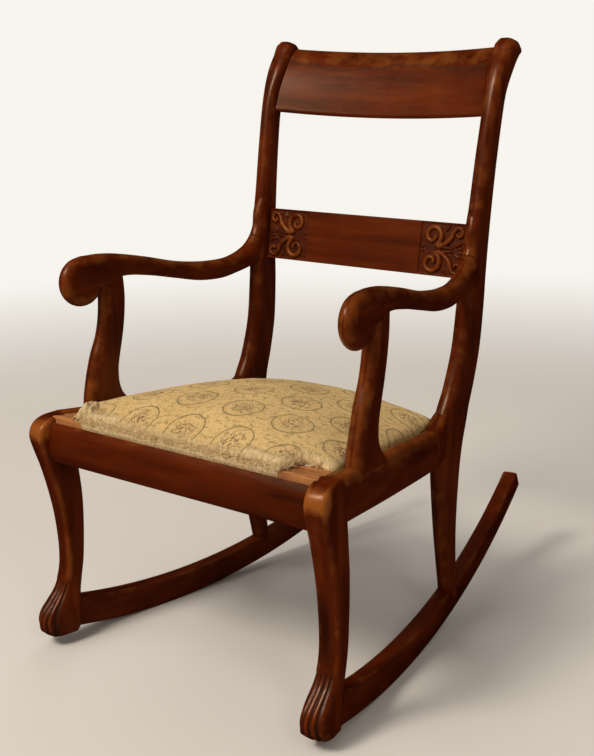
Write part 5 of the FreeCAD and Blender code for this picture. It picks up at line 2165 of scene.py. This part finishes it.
@dataclass
class Studio:
    """Camera at the photograph's angle, soft light and a plain pale floor."""

    eye: tuple[float, float, float] = (1.1527, -1.5440, 0.8995)
    azimuth: float = 37.917
    pitch: float = 14.759
    roll: float = 0.8
    lens: float = 59.51
    floor_color: Color = (0.58, 0.53, 0.475)
    surround: Color = (0.93, 0.91, 0.85)
    fades_over: tuple[float, float] = (1.3, 3.4)
    sky: Color = (1.0, 0.96, 0.91)
    ambient: float = 0.40
    sun_power: float = 0.9
    sun_turn: tuple[float, float] = (30.0, -14.0)
    lamps: tuple[Lamp, ...] = (
        Lamp("key", (-0.6, -2.4, 2.7), (0, 0, 0.4), 1.0, 78, (1.0, 0.94, 0.86), shine=True),
        Lamp("side", (2.3, -1.5, 1.9), (0, 0, 0.45), 0.8, 11, (1.0, 0.95, 0.88)),
        Lamp("rear", (-1.8, 2.2, 2.4), (0, 0, 0.5), 1.6, 20, (0.96, 0.97, 1.0)))

    def camera(self) -> None:
        """Set up the camera."""
        a, p, r = (math.radians(v) for v in (self.azimuth, self.pitch, self.roll))
        forward = Vector((-math.sin(a) * math.cos(p), math.cos(a) * math.cos(p), -math.sin(p)))
        level = Vector((math.cos(a), math.sin(a), 0))
        down = forward.cross(level)
        right = level * math.cos(r) + down * math.sin(r)
        lower = down * math.cos(r) - level * math.sin(r)
        data = bpy.data.cameras.new("camera")
        data.lens = self.lens
        data.sensor_width = 36.0
        data.clip_start, data.clip_end = 0.05, 60.0
        made = add_object("camera", data)
        basis = Matrix((right, -lower, -forward)).transposed().to_4x4()
        made.matrix_world = Matrix.Translation(Vector(self.eye)) @ basis
        bpy.context.scene.camera = made

    def seen_apart(self, tree: bpy.types.NodeTree, share: bpy.types.NodeSocket,
                   lit: bpy.types.NodeSocket, seen: bpy.types.NodeSocket, out: str) -> None:
        """Show the camera another shader than the one that takes part in the light.

        Args:
            tree: The shader tree.
            share: How much of the seen shader counts.
            lit: The shader that takes part in the light.
            seen: The shader that the camera sees.
            out: Name of the tree's output node.
        """
        mix = tree.nodes.new("ShaderNodeMixShader")
        for place, socket in enumerate((share, lit, seen)):
            tree.links.new(socket, mix.inputs[place])
        tree.links.new(mix.outputs[0], tree.nodes[out].inputs["Surface"])

    def floor(self) -> None:
        """Lay a pale floor that keeps the shadow and fades into a pale surround."""
        mesh = bpy.data.meshes.new("floor")
        mesh.from_pydata([(-14, -14, 0), (14, -14, 0), (14, 14, 0), (-14, 14, 0)], [], [(0, 1, 2, 3)])
        made = add_object("floor", mesh)
        f = Finish("pale floor")
        f.surface((*self.floor_color, 1), 0.9)
        away = f.node("VectorMath", {"operation": "LENGTH"}, output="Value", Vector=f.place())
        near, far = self.fades_over
        fade = f.node("MapRange", {"interpolation_type": "SMOOTHSTEP"}, Value=away, From_Min=near,
                      From_Max=far)
        seen = f.node("LightPath", output="Is Camera Ray")
        glow = f.node("Emission", Color=(*self.surround, 1), Strength=1.0)
        self.seen_apart(f.tree, (fade * seen).socket, f.shader.outputs[0], glow.socket, "Material Output")
        mesh.materials.append(f.material)
        made.visible_glossy = False

    def world(self) -> None:
        """Light the chair from all round and show a pale surround."""
        world = bpy.data.worlds.new("surround")
        bpy.context.scene.world = world
        world.use_nodes = True
        tree = world.node_tree
        plain = tree.nodes["Background"]
        plain.inputs["Color"].default_value = (*self.sky, 1)
        plain.inputs["Strength"].default_value = self.ambient
        seen = tree.nodes.new("ShaderNodeBackground")
        seen.inputs["Color"].default_value = (*self.surround, 1)
        path = tree.nodes.new("ShaderNodeLightPath")
        share = path.outputs["Is Camera Ray"]
        self.seen_apart(tree, share, plain.outputs[0], seen.outputs[0], "World Output")
        world.cycles_visibility.glossy = False

    def sun(self) -> None:
        """Add the broad light of a sky."""
        data = bpy.data.lights.new("sky", "SUN")
        data.energy = self.sun_power
        data.angle = math.radians(40)
        made = add_object("sky", data)
        made.visible_glossy = False
        made.rotation_euler = (*map(math.radians, self.sun_turn), 0)

    def build(self) -> None:
        """Set up everything round the chair."""
        self.camera()
        self.floor()
        self.world()
        for lamp in self.lamps:
            lamp.hang()
        self.sun()
        bpy.context.scene.view_settings.view_transform = "Standard"


def main() -> None:
    """Build the chair and its surround."""
    logging.basicConfig(level=logging.INFO, format="%(name)s %(message)s")
    upright = Mahogany("mahogany upright", Grain.UPRIGHT)
    deep = Mahogany("mahogany deep", Grain.DEEP)
    across = Mahogany("mahogany across", Grain.ACROSS)
    Stiles(upright).build()
    Legs(upright).build()
    Rockers(deep).build()
    Arms(deep).build()
    Supports(upright).build()
    SideRails(deep).build()
    EndRails(across).build()
    Crest(across).build()
    CrossRail(across).build()
    Joinery(PlainWood("block wood", Grain.ACROSS, (0.16, 0.085, 0.040), (0.36, 0.22, 0.115)),
            PlainWood("dowel wood", Grain.UPRIGHT, (0.26, 0.16, 0.08), (0.48, 0.33, 0.19))).build()
    DropInSeat(PlainWood("seat frame wood", Grain.ACROSS, (0.155, 0.047, 0.010), (0.430, 0.160, 0.038)),
               Cloth("webbing", (0.17, 0.115, 0.058), (0.40, 0.29, 0.16), 2600.0),
               Cloth("hessian", (0.15, 0.10, 0.050), (0.42, 0.30, 0.17), 3600.0),
               Cloth("wadding", (0.42, 0.33, 0.22), (0.66, 0.56, 0.42), 900.0),
               Tapestry("woven tapestry"),
               Cloth("cover thread", (0.58, 0.38, 0.16), (0.92, 0.72, 0.42), 5000.0)).build()
    Studio().build()


if __name__ == "__main__":
    main()
